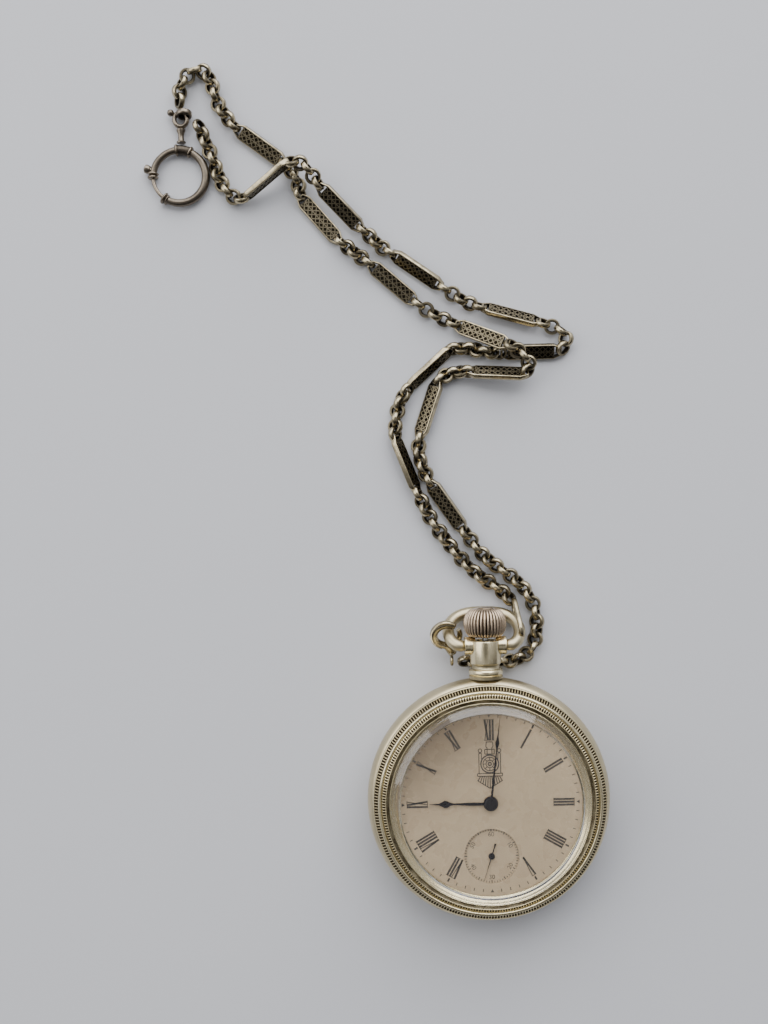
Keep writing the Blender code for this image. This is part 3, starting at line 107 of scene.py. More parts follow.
class Graph:
    """A node tree under construction."""

    def __init__(self, tree: bpy.types.NodeTree) -> None:
        """Args: tree: the tree that nodes are added to."""
        self.tree = tree

    def node(self, kind: str, settings: dict, inputs: dict, output: "int | str" = 0) -> Signal:
        """Add any node.

        Args:
            kind: the node's type.
            settings: its own properties, set first.
            inputs: value or Signal for each input, by name or number.
            output: the output that the result stands for.

        Returns:
            The chosen output.
        """
        node = self.tree.nodes.new(kind)
        for key, value in settings.items():
            setattr(node, key, value)
        for key, value in inputs.items():
            self.feed(node.inputs[key], value)
        return Signal(self, node.outputs[output])

    def feed(self, socket: bpy.types.NodeSocket, value: "Signal | float | Colour") -> None:
        """Link a Signal to an input, or set the input's own value."""
        if isinstance(value, Signal):
            self.tree.links.new(value.socket, socket)
        elif isinstance(value, tuple) and len(value) == 3 and socket.type == "RGBA":
            socket.default_value = (*value, 1.0)
        else:
            socket.default_value = value

    def math(self, operation: str, *values: "Signal | float") -> Signal:
        """A Math node on the values."""
        return self.node("ShaderNodeMath", {"operation": operation}, dict(enumerate(values)))

    def mix(self, share: "Signal | float", first: "Signal | Colour", second: "Signal | Colour",
            blend: str = "MIX") -> Signal:
        """A colour between first and second."""
        return self.node("ShaderNodeMix", {"data_type": "RGBA", "blend_type": blend},
                         {0: share, 6: first, 7: second}, 2)


class Surface(Graph):
    """The node tree of one new material, with its Principled shader."""

    def __init__(self, name: str) -> None:
        """Args: name: the material's name."""
        self.material = bpy.data.materials.new(name)
        self.material.use_nodes = True
        super().__init__(self.material.node_tree)
        self.shader = self.tree.nodes["Principled BSDF"]

    def place(self, stretch: tuple[float, float, float] = (1, 1, 1), turn: float = 0.0) -> Signal:
        """Object coordinates, stretched and turned about Z."""
        where = self.node("ShaderNodeTexCoord", {}, {}, "Object")
        return self.node("ShaderNodeMapping", {}, {"Vector": where, "Scale": stretch,
                                                   "Rotation": (0, 0, turn)}, "Vector")

    def noise(self, size: float, detail: float = 2.0,
              stretch: tuple[float, float, float] = (1, 1, 1), turn: float = 0.0) -> Signal:
        """Noise from 0 to 1 whose features are about size metres."""
        return self.node("ShaderNodeTexNoise", {}, {"Vector": self.place(stretch, turn), "Scale": 1 / size,
                                                    "Detail": detail}, "Fac")

    def along(self, way: tuple[float, float, float]) -> Signal:
        """Distance in metres along a direction."""
        return self.node("ShaderNodeVectorMath", {"operation": "DOT_PRODUCT"}, {0: self.place(), 1: way}, "Value")

    def wear(self) -> Signal:
        """The piece's own attribute of worn spots and painted shade: 1 on worn high spots, 0 and below in hollows,
        where the dark is painted shade.
        """
        return self.node("ShaderNodeAttribute", {"attribute_name": "wear"}, {}, "Fac")

    def bump(self, height: Signal, depth: float, strength: float = 1.0) -> None:
        """Feed a Bump node of depth metres to the shader's normal."""
        normal = self.node("ShaderNodeBump", {}, {"Strength": strength, "Distance": depth, "Height": height})
        self.feed(self.shader.inputs["Normal"], normal)

    def finish(self, **inputs: "Signal | float | Colour") -> bpy.types.Material:
        """Set the shader's inputs, with _ for a space in each name, and give the material."""
        for key, value in inputs.items():
            self.feed(self.shader.inputs[key.replace("_", " ")], value)
        return self.material


# ---- Finishes ------------------------------------------------------------------------
@dataclass(frozen=True)
class Metal:
    """A metal with cloudy tone, fine grain and light scratches; a worn one is bright on its worn high spots and dark
    in hollows, where the dark is painted shade.
    """

    name: str
    bright: Colour
    dark: Colour
    roughness: float = 0.30
    dark_roughness: float = 0.55
    cloud_size: float = 5 * MM
    cloud_depth: float = 0.22
    grain_size: float = 0.22 * MM
    grain_depth: float = 0.010 * MM
    worn: bool = False

    def build(self) -> bpy.types.Material:
        """The material; a worn finish reads the attribute of worn high spots and painted shade in hollows."""
        graph = Surface(self.name)
        clouds = graph.noise(self.cloud_size, 4)
        grain = graph.noise(self.grain_size, 3)
        scratches = (graph.noise(0.5 * MM, 1, (6, 0.25, 1), 0.6)
                     + graph.noise(0.5 * MM, 1, (6, 0.25, 1), 2.2)).between(1.22, 1.38)
        if self.worn:
            bright_share = (graph.wear() + (clouds - 0.5) * 0.5 + (grain - 0.5) * 0.3).between(0.15, 0.75)
        else:
            bright_share = (clouds * 0.6 + grain * 0.4).between(0.22, 0.42)
        tone = graph.mix(clouds.between(0.35, 0.7) * self.cloud_depth, self.bright, self.dark)
        # Where the share is low the metal takes the dark colour: random tone on a plain finish, painted shade in the
        # hollows of a worn one.
        colour = graph.mix(bright_share, self.dark, tone)
        rough = (1 - bright_share) * (self.dark_roughness - self.roughness) + self.roughness
        rough = rough + (clouds - 0.5) * 0.18 + scratches * 0.08
        graph.bump(grain + scratches * -0.5, self.grain_depth)
        return graph.finish(Base_Color=colour, Roughness=rough, Metallic=1.0)


@dataclass(frozen=True)
class Enamel:
    """Warm white dial enamel with a faint uneven tone, and painted shade that darkens it towards the upper left rim.
    """

    name: str = "dial_enamel"
    white: Colour = (0.375, 0.290, 0.190)
    cream: Colour = (0.330, 0.250, 0.158)
    browned: Colour = (0.070, 0.048, 0.030)

    def build(self) -> bpy.types.Material:
        """The material."""
        graph = Surface(self.name)
        clouds = graph.noise(14 * MM, 3)
        specks = graph.noise(0.35 * MM, 2).between(0.72, 0.80)
        colour = graph.mix(clouds.between(0.3, 0.75) * 0.6, self.white, self.cream)
        colour = graph.mix(specks * 0.25, colour, (0.30, 0.23, 0.15))
        # Painted shade: the enamel darkens towards the upper left, where the bezel wall shades the dial.
        upper_left_shade = graph.along((-0.62, 0.78, 0.0)).between(3 * MM, 23 * MM)
        colour = graph.mix(upper_left_shade * 0.80, colour, self.browned)
        graph.bump(graph.noise(1.2 * MM, 2), 0.004 * MM, 0.4)
        return graph.finish(Base_Color=colour, Roughness=graph.noise(3 * MM, 2) * 0.12 + 0.22,
                            Coat_Weight=0.4, Coat_Roughness=0.08)


@dataclass(frozen=True)
class Ink:
    """Printing fired on the dial."""

    name: str = "dial_ink"
    colour: Colour = (0.012, 0.010, 0.009)
    faded: Colour = (0.045, 0.036, 0.030)

    def build(self) -> bpy.types.Material:
        """The material."""
        graph = Surface(self.name)
        fade = graph.noise(0.5 * MM, 3).between(0.45, 0.75)
        return graph.finish(Base_Color=graph.mix(fade, self.colour, self.faded),
                            Roughness=fade * 0.2 + 0.35)


@dataclass(frozen=True)
class CrystalGlass:
    """Clear glass that bends what is under it and lets lamps through to the dial."""

    name: str = "crystal_glass"
    tint: Colour = (0.985, 0.985, 0.97)

    def build(self) -> bpy.types.Material:
        """The material."""
        graph = Surface(self.name)
        graph.finish(Base_Color=self.tint, Transmission_Weight=1.0, IOR=1.5,
                     Roughness=graph.noise(2 * MM, 4).between(0.55, 0.9) * 0.035 + 0.012)
        open_glass = graph.node("ShaderNodeBsdfTransparent", {}, {"Color": self.tint})
        lamp = graph.node("ShaderNodeLightPath", {}, {}, "Is Shadow Ray")
        both = graph.node("ShaderNodeMixShader", {}, {0: lamp, 1: Signal(graph, graph.shader.outputs[0]),
                                                      2: open_glass})
        graph.tree.links.new(both.socket, graph.tree.nodes["Material Output"].inputs["Surface"])
        return graph.material


@dataclass(frozen=True)
class Tabletop:
    """Plain pale surface under the watch."""

    name: str = "pale_floor"
    colour: Colour = (0.60, 0.61, 0.64)

    def build(self) -> bpy.types.Material:
        """The material."""
        graph = Surface(self.name)
        clouds = graph.noise(60 * MM, 3)
        colour = graph.mix(clouds * 0.5, self.colour, tuple(0.94 * value for value in self.colour))
        graph.bump(graph.noise(0.35 * MM, 2), 0.02 * MM, 0.3)
        return graph.finish(Base_Color=colour, Roughness=0.85)


class Finish(Enum):
    """Every finish of the watch and its chain."""

    NICKEL = Metal("case_nickel", (0.60, 0.52, 0.34), (0.18, 0.13, 0.07), 0.36, 0.5, 9 * MM, 0.22)
    # A worn finish's dark colour fills its hollows: painted shade.
    NICKEL_CUT = Metal("cut_nickel", (0.78, 0.68, 0.44), (0.035, 0.024, 0.012), 0.22, 0.55, 4 * MM, 0.18, worn=True)
    ROSE = Metal("crown_rose", (0.60, 0.47, 0.34), (0.020, 0.012, 0.007), 0.26, 0.6, 3 * MM, 0.2, worn=True)
    CHAIN = Metal("chain_silver", (0.50, 0.43, 0.285), (0.018, 0.014, 0.009), 0.24, 0.45, 2.0 * MM, 0.45,
                  0.3 * MM, 0.02 * MM, worn=True)
    GUNMETAL = Metal("gunmetal", (0.26, 0.22, 0.17), (0.022, 0.018, 0.014), 0.28, 0.45, 3 * MM, 0.45,
                     0.3 * MM, 0.02 * MM, worn=True)
    STEEL = Metal("movement_steel", (0.56, 0.57, 0.58), (0.20, 0.20, 0.20), 0.24)
    BRASS = Metal("movement_brass", (0.78, 0.60, 0.30), (0.30, 0.20, 0.08), 0.30)
    BLUED = Metal("blued_steel", (0.030, 0.026, 0.032), (0.012, 0.010, 0.010), 0.28, 0.4)
    ENAMEL = Enamel()
    INK = Ink()
    GLASS = CrystalGlass()
    FLOOR = Tabletop()


class Materials:
    """Builds each finish once."""

    _built: dict[Finish, bpy.types.Material] = {}

    @classmethod
    def get(cls, finish: Finish) -> bpy.types.Material:
        """The material of a finish."""
        if finish not in cls._built:
            cls._built[finish] = finish.value.build()
        return cls._built[finish]


# ---- Shaping -------------------------------------------------------------------------
def is_vert(item: object) -> bool:
    """True for a bmesh vertex."""
    return isinstance(item, bmesh.types.BMVert)


def is_edge(item: object) -> bool:
    """True for a bmesh edge."""
    return isinstance(item, bmesh.types.BMEdge)


def add_chain(bm: bmesh.types.BMesh, points: Sequence[Vector], closed: bool) -> tuple[list, list]:
    """Vertices and edges along points.

    Args:
        bm: the mesh under construction.
        points: places in order.
        closed: whether the last point joins the first.

    Returns:
        The new vertices and the new edges.
    """
    verts = [bm.verts.new(point) for point in points]
    pairs = list(zip(verts, verts[1:])) + ([(verts[-1], verts[0])] if closed else [])
    return verts, [bm.edges.new(pair) for pair in pairs]


def spun(profile: Sequence[Flat], steps: int, closed: bool = True) -> bmesh.types.BMesh:
    """A solid of revolution round Z.

    Args:
        profile: (radius, height) points.
        steps: faces round the axis.
        closed: whether the profile is a loop, so that the solid is a ring.

    Returns:
        The mesh under construction.
    """
    bm = bmesh.new()
    verts, edges = add_chain(bm, [Vector((radius, 0, height)) for radius, height in profile], closed)
    bmesh.ops.spin(bm, geom=verts + edges, axis=(0, 0, 1), cent=(0, 0, 0), angle=math.tau,
                   steps=steps, use_merge=True)
    bmesh.ops.remove_doubles(bm, verts=bm.verts, dist=1e-7)
    bmesh.ops.recalc_face_normals(bm, faces=bm.faces)
    return bm


def frames_along(points: Sequence[Vector], up: Vector, closed: bool,
                 scales: Sequence[float]) -> list[Matrix]:
    """Matrices that carry an outline along points with no twist of its own."""
    count = len(points)
    tangents = []
    for index in range(count):
        before = points[index - 1] if closed or index else points[0]
        after = points[(index + 1) % count] if closed or index < count - 1 else points[-1]
        tangents.append((after - before).normalized())
    side = (up - up.dot(tangents[0]) * tangents[0]).normalized()
    matrices = []
    for index, tangent in enumerate(tangents):
        if index:
            side = tangents[index - 1].rotation_difference(tangent) @ side
        across = tangent.cross(side)
        scale = scales[index]
        matrix = Matrix((side * scale, across * scale, tangent * scale)).transposed().to_4x4()
        matrix.translation = points[index]
        matrices.append(matrix)
    return matrices


def swept(points: Sequence[Vector], outline: Sequence[Flat], closed: bool = False,
          up: Vector = Vector((0, 0, 1)), scales: "Sequence[float] | None" = None) -> bmesh.types.BMesh:
    """A bar that carries an outline along points.

    Args:
        points: its centre line.
        outline: section, with the first number along up and the second across.
        closed: whether the bar is a loop.
        up: direction of the section's first number at the start.
        scales: size of the section at each point.

    Returns:
        The mesh under construction.
    """
    points = [Vector(point) for point in points]
    matrices = frames_along(points, up, closed, scales or [1.0] * len(points))
    bm = bmesh.new()
    _, first = add_chain(bm, [matrices[0] @ Vector((*corner, 0)) for corner in outline], True)
    edges = first
    for before, after in zip(matrices, matrices[1:]):
        grown = bmesh.ops.extrude_edge_only(bm, edges=edges)["geom"]
        bmesh.ops.transform(bm, matrix=after @ before.inverted(), verts=list(filter(is_vert, grown)))
        edges = [edge for edge in filter(is_edge, grown)]
    if closed:
        bmesh.ops.bridge_loops(bm, edges=edges + first)
    else:
        bmesh.ops.edgeloop_fill(bm, edges=first)
        bmesh.ops.edgeloop_fill(bm, edges=edges)
    bmesh.ops.recalc_face_normals(bm, faces=bm.faces)
    return bm


def round_section(radius: float, sides: int = 12) -> list[Flat]:
    """A round outline."""
    return [(radius * math.cos(math.tau * i / sides), radius * math.sin(math.tau * i / sides))
            for i in range(sides)]


def oval_arc(centre: Flat, wide: float, high: float, start: float, end: float, count: int) -> list[Flat]:
    """Points of an upright oval's arc, with angles in degrees."""
    turn = [math.radians(start + (end - start) * i / (count - 1)) for i in range(count)]
    return [(centre[0] + wide * math.cos(angle), centre[1] + high * math.sin(angle)) for angle in turn]


def paint_wear(bm: bmesh.types.BMesh, rule: Callable[[Vector], float]) -> bmesh.types.BMesh:
    """Write the attribute of worn spots and painted shade on every vertex from its place."""
    layer = bm.verts.layers.float.get("wear") or bm.verts.layers.float.new("wear")
    for vert in bm.verts:
        vert[layer] = rule(vert.co)
    return bm


def turn_to_y(bm: bmesh.types.BMesh, height: float) -> bmesh.types.BMesh:
    """Turn a shape made round Z onto an axis along Y at a height."""
    matrix = Matrix.Translation((0, 0, height)) @ Matrix.Rotation(-math.pi / 2, 4, "X")
    bmesh.ops.transform(bm, matrix=matrix, verts=bm.verts)
    return bm


class Gathered:
    """One mesh gathered from several shapes."""

    def __init__(self) -> None:
        """Start with nothing."""
        self.bm = bmesh.new()
        self.bm.verts.layers.float.new("wear")

    def add(self, shape: bmesh.types.BMesh, matrix: Matrix = Matrix.Identity(4)) -> None:
        """Take a shape in and free it."""
        mesh = bpy.data.meshes.new("part")
        shape.to_mesh(mesh)
        shape.free()
        self.add_mesh(mesh, matrix)
        bpy.data.meshes.remove(mesh)

    def add_mesh(self, mesh: bpy.types.Mesh, matrix: Matrix) -> None:
        """Copy a mesh in at a place."""
        start = len(self.bm.verts)
        self.bm.from_mesh(mesh)
        self.bm.verts.ensure_lookup_table()
        bmesh.ops.transform(self.bm, matrix=matrix, verts=self.bm.verts[start:])


def kept_mesh(bm: bmesh.types.BMesh, name: str) -> bpy.types.Mesh:
    """A mesh to copy many times."""
    mesh = bpy.data.meshes.new(name)
    bm.to_mesh(mesh)
    bm.free()
    return mesh


def show(name: str, bm: bmesh.types.BMesh, finish: Finish, body: str,
         replaces: Iterable[str] = (), sharp: float = 35.0) -> bpy.types.Object:
    """Make a finished piece that rides on a body.

    Args:
        name: the piece's name.
        bm: its mesh, in place.
        finish: its finish.
        body: the body that it moves with.
        replaces: plain solids that it stands for.
        sharp: faces that meet at more than this angle, in degrees, keep a crisp edge.

    Returns:
        The piece.
    """
    mesh = kept_mesh(bm, name)
    mesh.shade_smooth()
    mesh.set_sharp_from_angle(angle=math.radians(sharp))
    mesh.materials.append(Materials.get(finish))
    piece = bpy.data.objects.new(name, mesh)
    bpy.context.scene.collection.objects.link(piece)
    if body:
        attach(piece, body)
    for node in replaces:
        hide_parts(node)
    log.info("%s: %d faces", name, len(mesh.polygons))
    return piece


# ---- Case ----------------------------------------------------------------------------
@dataclass
class Case:
    """Screw back, middle band and the bezel with its two milled rows."""

    radius: float = 28.5 * MM
    back_radius: float = 27.6 * MM
    flat_radius: float = 10.0 * MM
    bezel_radius: float = 27.2 * MM
    steps: int = 256
    teeth: int = 250
    tooth_depth: float = 0.20 * MM

    def back(self) -> None:
        """The screw back."""
        dome = self.back_radius - self.flat_radius
        profile = [(0.0, 0.0)] + oval_arc((self.flat_radius, 5.0 * MM), dome, 5.0 * MM, -90, 0, 14)
        profile += [(self.back_radius, 5.6 * MM), (26.2 * MM, 5.6 * MM), (26.2 * MM, 6.9 * MM),
                    (25.6 * MM, 6.9 * MM)]
        profile += oval_arc((self.flat_radius, 5.0 * MM), 15.6 * MM, 4.1 * MM, 0, -90, 10) + [(0.0, 0.9 * MM)]
        show("screw_back", spun(profile, self.steps, False), Finish.NICKEL, "back", ["back_cover"])

    def band(self) -> None:
        """The middle of the case."""
        profile = oval_arc((26.9 * MM, 9.5 * MM), 1.6 * MM, 3.7 * MM, -68, 0, 12)
        profile += oval_arc((26.6 * MM, 9.5 * MM), 1.9 * MM, 3.25 * MM, 0, 70, 14)[1:]
        profile += [(27.1 * MM, 12.6 * MM), (25.4 * MM, 12.6 * MM), (25.4 * MM, 10.7 * MM),
                    (22.2 * MM, 10.7 * MM), (22.2 * MM, 9.9 * MM), (25.4 * MM, 9.1 * MM), (25.4 * MM, 7.2 * MM),
                    (26.5 * MM, 7.2 * MM), (26.5 * MM, 5.9 * MM), (27.4 * MM, 5.9 * MM)]
        show("case_middle", spun(profile, self.steps), Finish.NICKEL, "case", ["case_band"])

    def bezel_profile(self) -> list[Flat]:
        """Section of the bezel, from the joint with the band up and in to the glass."""
        profile = [(27.2, 12.9), (27.2, 13.8), (27.14, 14.0), (27.02, 14.08), (26.93, 14.12)]
        profile += [(26.78, 14.24), (26.58, 14.38), (26.38, 14.52), (26.18, 14.64), (26.10, 14.66)]
        profile += oval_arc((25.60, 14.78), 0.48, 0.55, 8, 158, 10)
        profile += [(25.00, 15.22), (24.84, 15.34), (24.62, 15.45), (24.42, 15.54), (24.34, 15.62)]
        profile += oval_arc((24.22, 15.86), 0.13, 0.16, 0, 180, 6)
        profile += [(24.02, 15.80), (23.45, 15.72), (23.36, 15.98), (23.3, 16.0), (23.3, 15.7), (22.2, 15.7)]
        profile += [(21.45, 14.9), (21.3, 14.75), (21.3, 14.6), (24.5, 14.6), (24.5, 11.5), (25.1, 11.5), (25.1, 12.9)]
        return [(radius * MM, height * MM) for radius, height in profile]

    def in_teeth(self, radius: float) -> float:
        """How deep the milled teeth are at a radius, from 0 to 1."""
        for low, high in ((26.15, 26.95), (24.40, 25.02)):
            if low * MM < radius < high * MM:
                return 1.0
        return 0.0

    def bezel(self) -> None:
        """The bezel: every second step of the two milled rows is sunk."""
        count = 2 * self.teeth
        bm = spun(self.bezel_profile(), count)
        layer = bm.verts.layers.float.new("wear")
        step = math.tau / count
        for vert in bm.verts:
            radius = math.hypot(vert.co.x, vert.co.y)
            # Lower values darken the metal: the grooves and the sunk teeth get painted shade, the raised teeth stay
            # bright.
            vert[layer] = 0.9
            if vert.co.z < 13 * MM or radius < 23.5 * MM:
                vert[layer] = 0.75
            if 23.4 * MM < radius < 24.1 * MM:
                vert[layer] = 0.30
            if 25.02 * MM < radius < 25.12 * MM or 26.05 * MM < radius < 26.14 * MM:
                vert[layer] = 0.20
            if not self.in_teeth(radius) or vert.co.z < 13.6 * MM:
                continue
            sunk = round(math.atan2(vert.co.y, vert.co.x) / step) % 2
            vert[layer] = -1.0 if sunk else 1.0
            if sunk:
                vert.co.z -= self.tooth_depth
                vert.co.x -= vert.co.x / radius * self.tooth_depth
                vert.co.y -= vert.co.y / radius * self.tooth_depth
        show("milled_bezel", bm, Finish.NICKEL_CUT, "bezel", ["bezel"], 50)

    def crystal(self) -> None:
        """The bevelled glass."""
        profile = [(0, 17.1), (20.9, 17.1), (22.3, 16.0), (23.0, 16.0), (23.02, 16.85), (22.9, 17.0),
                   (21.36, 18.16), (21.2, 18.2), (0, 18.2)]
        bm = spun([(radius * MM, height * MM) for radius, height in profile], 192, False)
        show("watch_glass", bm, Finish.GLASS, "bezel", ["crystal"], 12)

    def build(self) -> None:
        """Make the case."""
        self.back()
        self.band()
        self.bezel()
        self.crystal()


# ---- Pendant, crown and bow ----------------------------------------------------------
@dataclass
class Pendant:
    """Neck with its ears, the fluted crown and the bow."""

    height: float = 9.4 * MM
    neck_radius: float = 3.65 * MM
    ear_y: float = 35.9 * MM
    ear_reach: float = 4.95 * MM
    crown_radius: float = 5.0 * MM
    crown_bottom: float = 38.0 * MM
    crown_height: float = 7.0 * MM
    flutes: int = 36
    flute_depth: float = 0.12
    bow_wire: float = 1.42 * MM
    bow_half_width: float = 8.5 * MM
    bow_reach: float = 10.7 * MM

    def neck(self) -> None:
        """The neck with collar, groove and two dished ears."""
        profile = [(3.95, 28.2), (3.98, 28.9)] + oval_arc((3.62, 29.7), 0.42, 0.75, -70, 75, 9)
        profile += [(3.45, 30.55), (3.28, 30.8), (3.25, 31.3), (3.38, 31.6), (3.6, 31.8), (3.65, 32.1), (3.62, 36.7),
                    (3.5, 37.1), (3.35, 37.2), (2.2, 37.2), (2.2, 28.2)]
        gathered = Gathered()
        neck = spun([(radius * MM, along * MM) for radius, along in profile], 96)
        # The foot of the neck at the case and the groove are darker: painted shade.
        gathered.add(turn_to_y(paint_wear(neck, lambda co: 0.45 if co.z < 28.95 * MM
                                          or 30.5 * MM < co.z < 31.7 * MM else 0.95), self.height))
        ear = [(0.85, 2.4), (2.12, 2.4), (2.14, 4.3), (2.20, 4.6), (2.12, 4.85), (1.9, 4.95), (1.45, 4.95),
               (0.85, 4.75)]
        for side in (-1, 1):
            shape = spun([(radius * MM, along * MM) for radius, along in ear], 48)
            paint_wear(shape, lambda co: 0.9)
            place = Matrix.Translation((0, self.ear_y, self.height)) @ Matrix.Rotation(side * math.pi / 2, 4, "Y")
            gathered.add(shape, place)
        show("neck_with_ears", gathered.bm, Finish.NICKEL_CUT, "case", ["pendant_neck"])

    def crown_profile(self) -> list[Flat]:
        """Side of the crown as (share of its radius, share of its height)."""
        return [(0, 0), (0.62, 0), (0.78, 0.03), (0.88, 0.11), (0.95, 0.22), (0.99, 0.34), (1.0, 0.46), (0.98, 0.60),
                (0.93, 0.72), (0.85, 0.82), (0.73, 0.90), (0.60, 0.945), (0.47, 0.955), (0.42, 0.95), (0, 0.95)]

    def crown(self) -> None:
        """The onion crown: round ribs with sharp grooves, and a plain cap."""
        ribs = spun([(share * self.crown_radius, self.crown_bottom + high * self.crown_height)
                     for share, high in self.crown_profile()], self.flutes * 8, False)
        layer = ribs.verts.layers.float.new("wear")
        for vert in ribs.verts:
            high = (vert.co.z - self.crown_bottom) / self.crown_height
            wave = abs(math.sin(self.flutes / 2 * math.atan2(vert.co.y, vert.co.x)))
            cut = (1 - wave) ** 1.6
            fade = min(1.0, high / 0.08, (0.948 - high) / 0.03) if 0 < high < 0.95 else 0.0
            scale = 1 - self.flute_depth * cut * max(0.0, fade)
            vert.co.x *= scale
            vert.co.y *= scale
            # Darker down in the grooves between the ribs: painted shade.
            vert[layer] = 1 - 1.5 * cut * max(0.0, fade)
        gathered = Gathered()
        gathered.add(turn_to_y(ribs, self.height))
        high = self.crown_bottom + self.crown_height
        cap = [(0, high - MM), (2.05 * MM, high - MM), (2.1 * MM, high - 0.42 * MM), (1.95 * MM, high - 0.25 * MM)]
        cap += oval_arc((0, high - 0.22 * MM), 1.8 * MM, 0.22 * MM, 0, 90, 8)
        gathered.add(turn_to_y(paint_wear(spun(cap, 64, False), lambda co: 0.9), self.height))
        show("ribbed_crown", gathered.bm, Finish.ROSE, "crown", ["crown"], 50)

    def lean(self) -> float:
        """Angle below level at which the bow lies back on the table."""
        return math.asin((self.height - self.bow_wire - 0.1 * MM) / self.bow_reach)

    def bow_point(self, across: float, along: float) -> Vector:
        """A point of the laid-back bow."""
        return Vector((across, self.ear_y + along * math.cos(self.lean()),
                       self.height - along * math.sin(self.lean())))

    def bow(self) -> None:
        """The round bow, with its pins in the ears."""
        start = self.ear_reach + 0.45 * MM
        widest = 0.42 * self.bow_reach
        half = [(self.ear_reach - 1.3 * MM, 0.0, 0.56), (self.ear_reach - 0.1 * MM, 0.0, 0.56),
                (self.ear_reach + 0.02 * MM, 0.0, 0.80), (start, 0.0, 0.95)]
        for degrees in range(15, 91, 15):
            angle = math.radians(degrees)
            half.append((start + (self.bow_half_width - start) * math.sin(angle),
                         widest * (1 - math.cos(angle)), 1.0))
        for degrees in range(9, 84, 9):
            angle = math.radians(degrees)
            half.append((self.bow_half_width * math.cos(angle) ** 0.72,
                         widest + (self.bow_reach - widest) * math.sin(angle), 1.0))
        points = [self.bow_point(x, y) for x, y, _ in half] + [self.bow_point(0, self.bow_reach)]
        points += [self.bow_point(-x, y) for x, y, _ in reversed(half)]
        scales = [share for _, _, share in half]
        bm = swept(points, round_section(self.bow_wire, 20), scales=scales + [1.0] + scales[::-1])
        show("round_bow", bm, Finish.NICKEL, "bow", ["bow"], 60)

    def build(self) -> None:
        """Make the pendant."""
        self.neck()
        self.crown()
        self.bow()


# ---- Dial ----------------------------------------------------------------------------
class Stroke(Enum):
    """Strokes of a roman numeral: (shift of the top, shift of the foot, weight), in mm."""

    UPRIGHT = ((0.0, 0.0, 0.46),)
    VEE = ((-0.40, 0.06, 0.46), (0.40, 0.06, 0.20))
    CROSS = ((-0.36, 0.36, 0.46), (0.36, -0.36, 0.20))


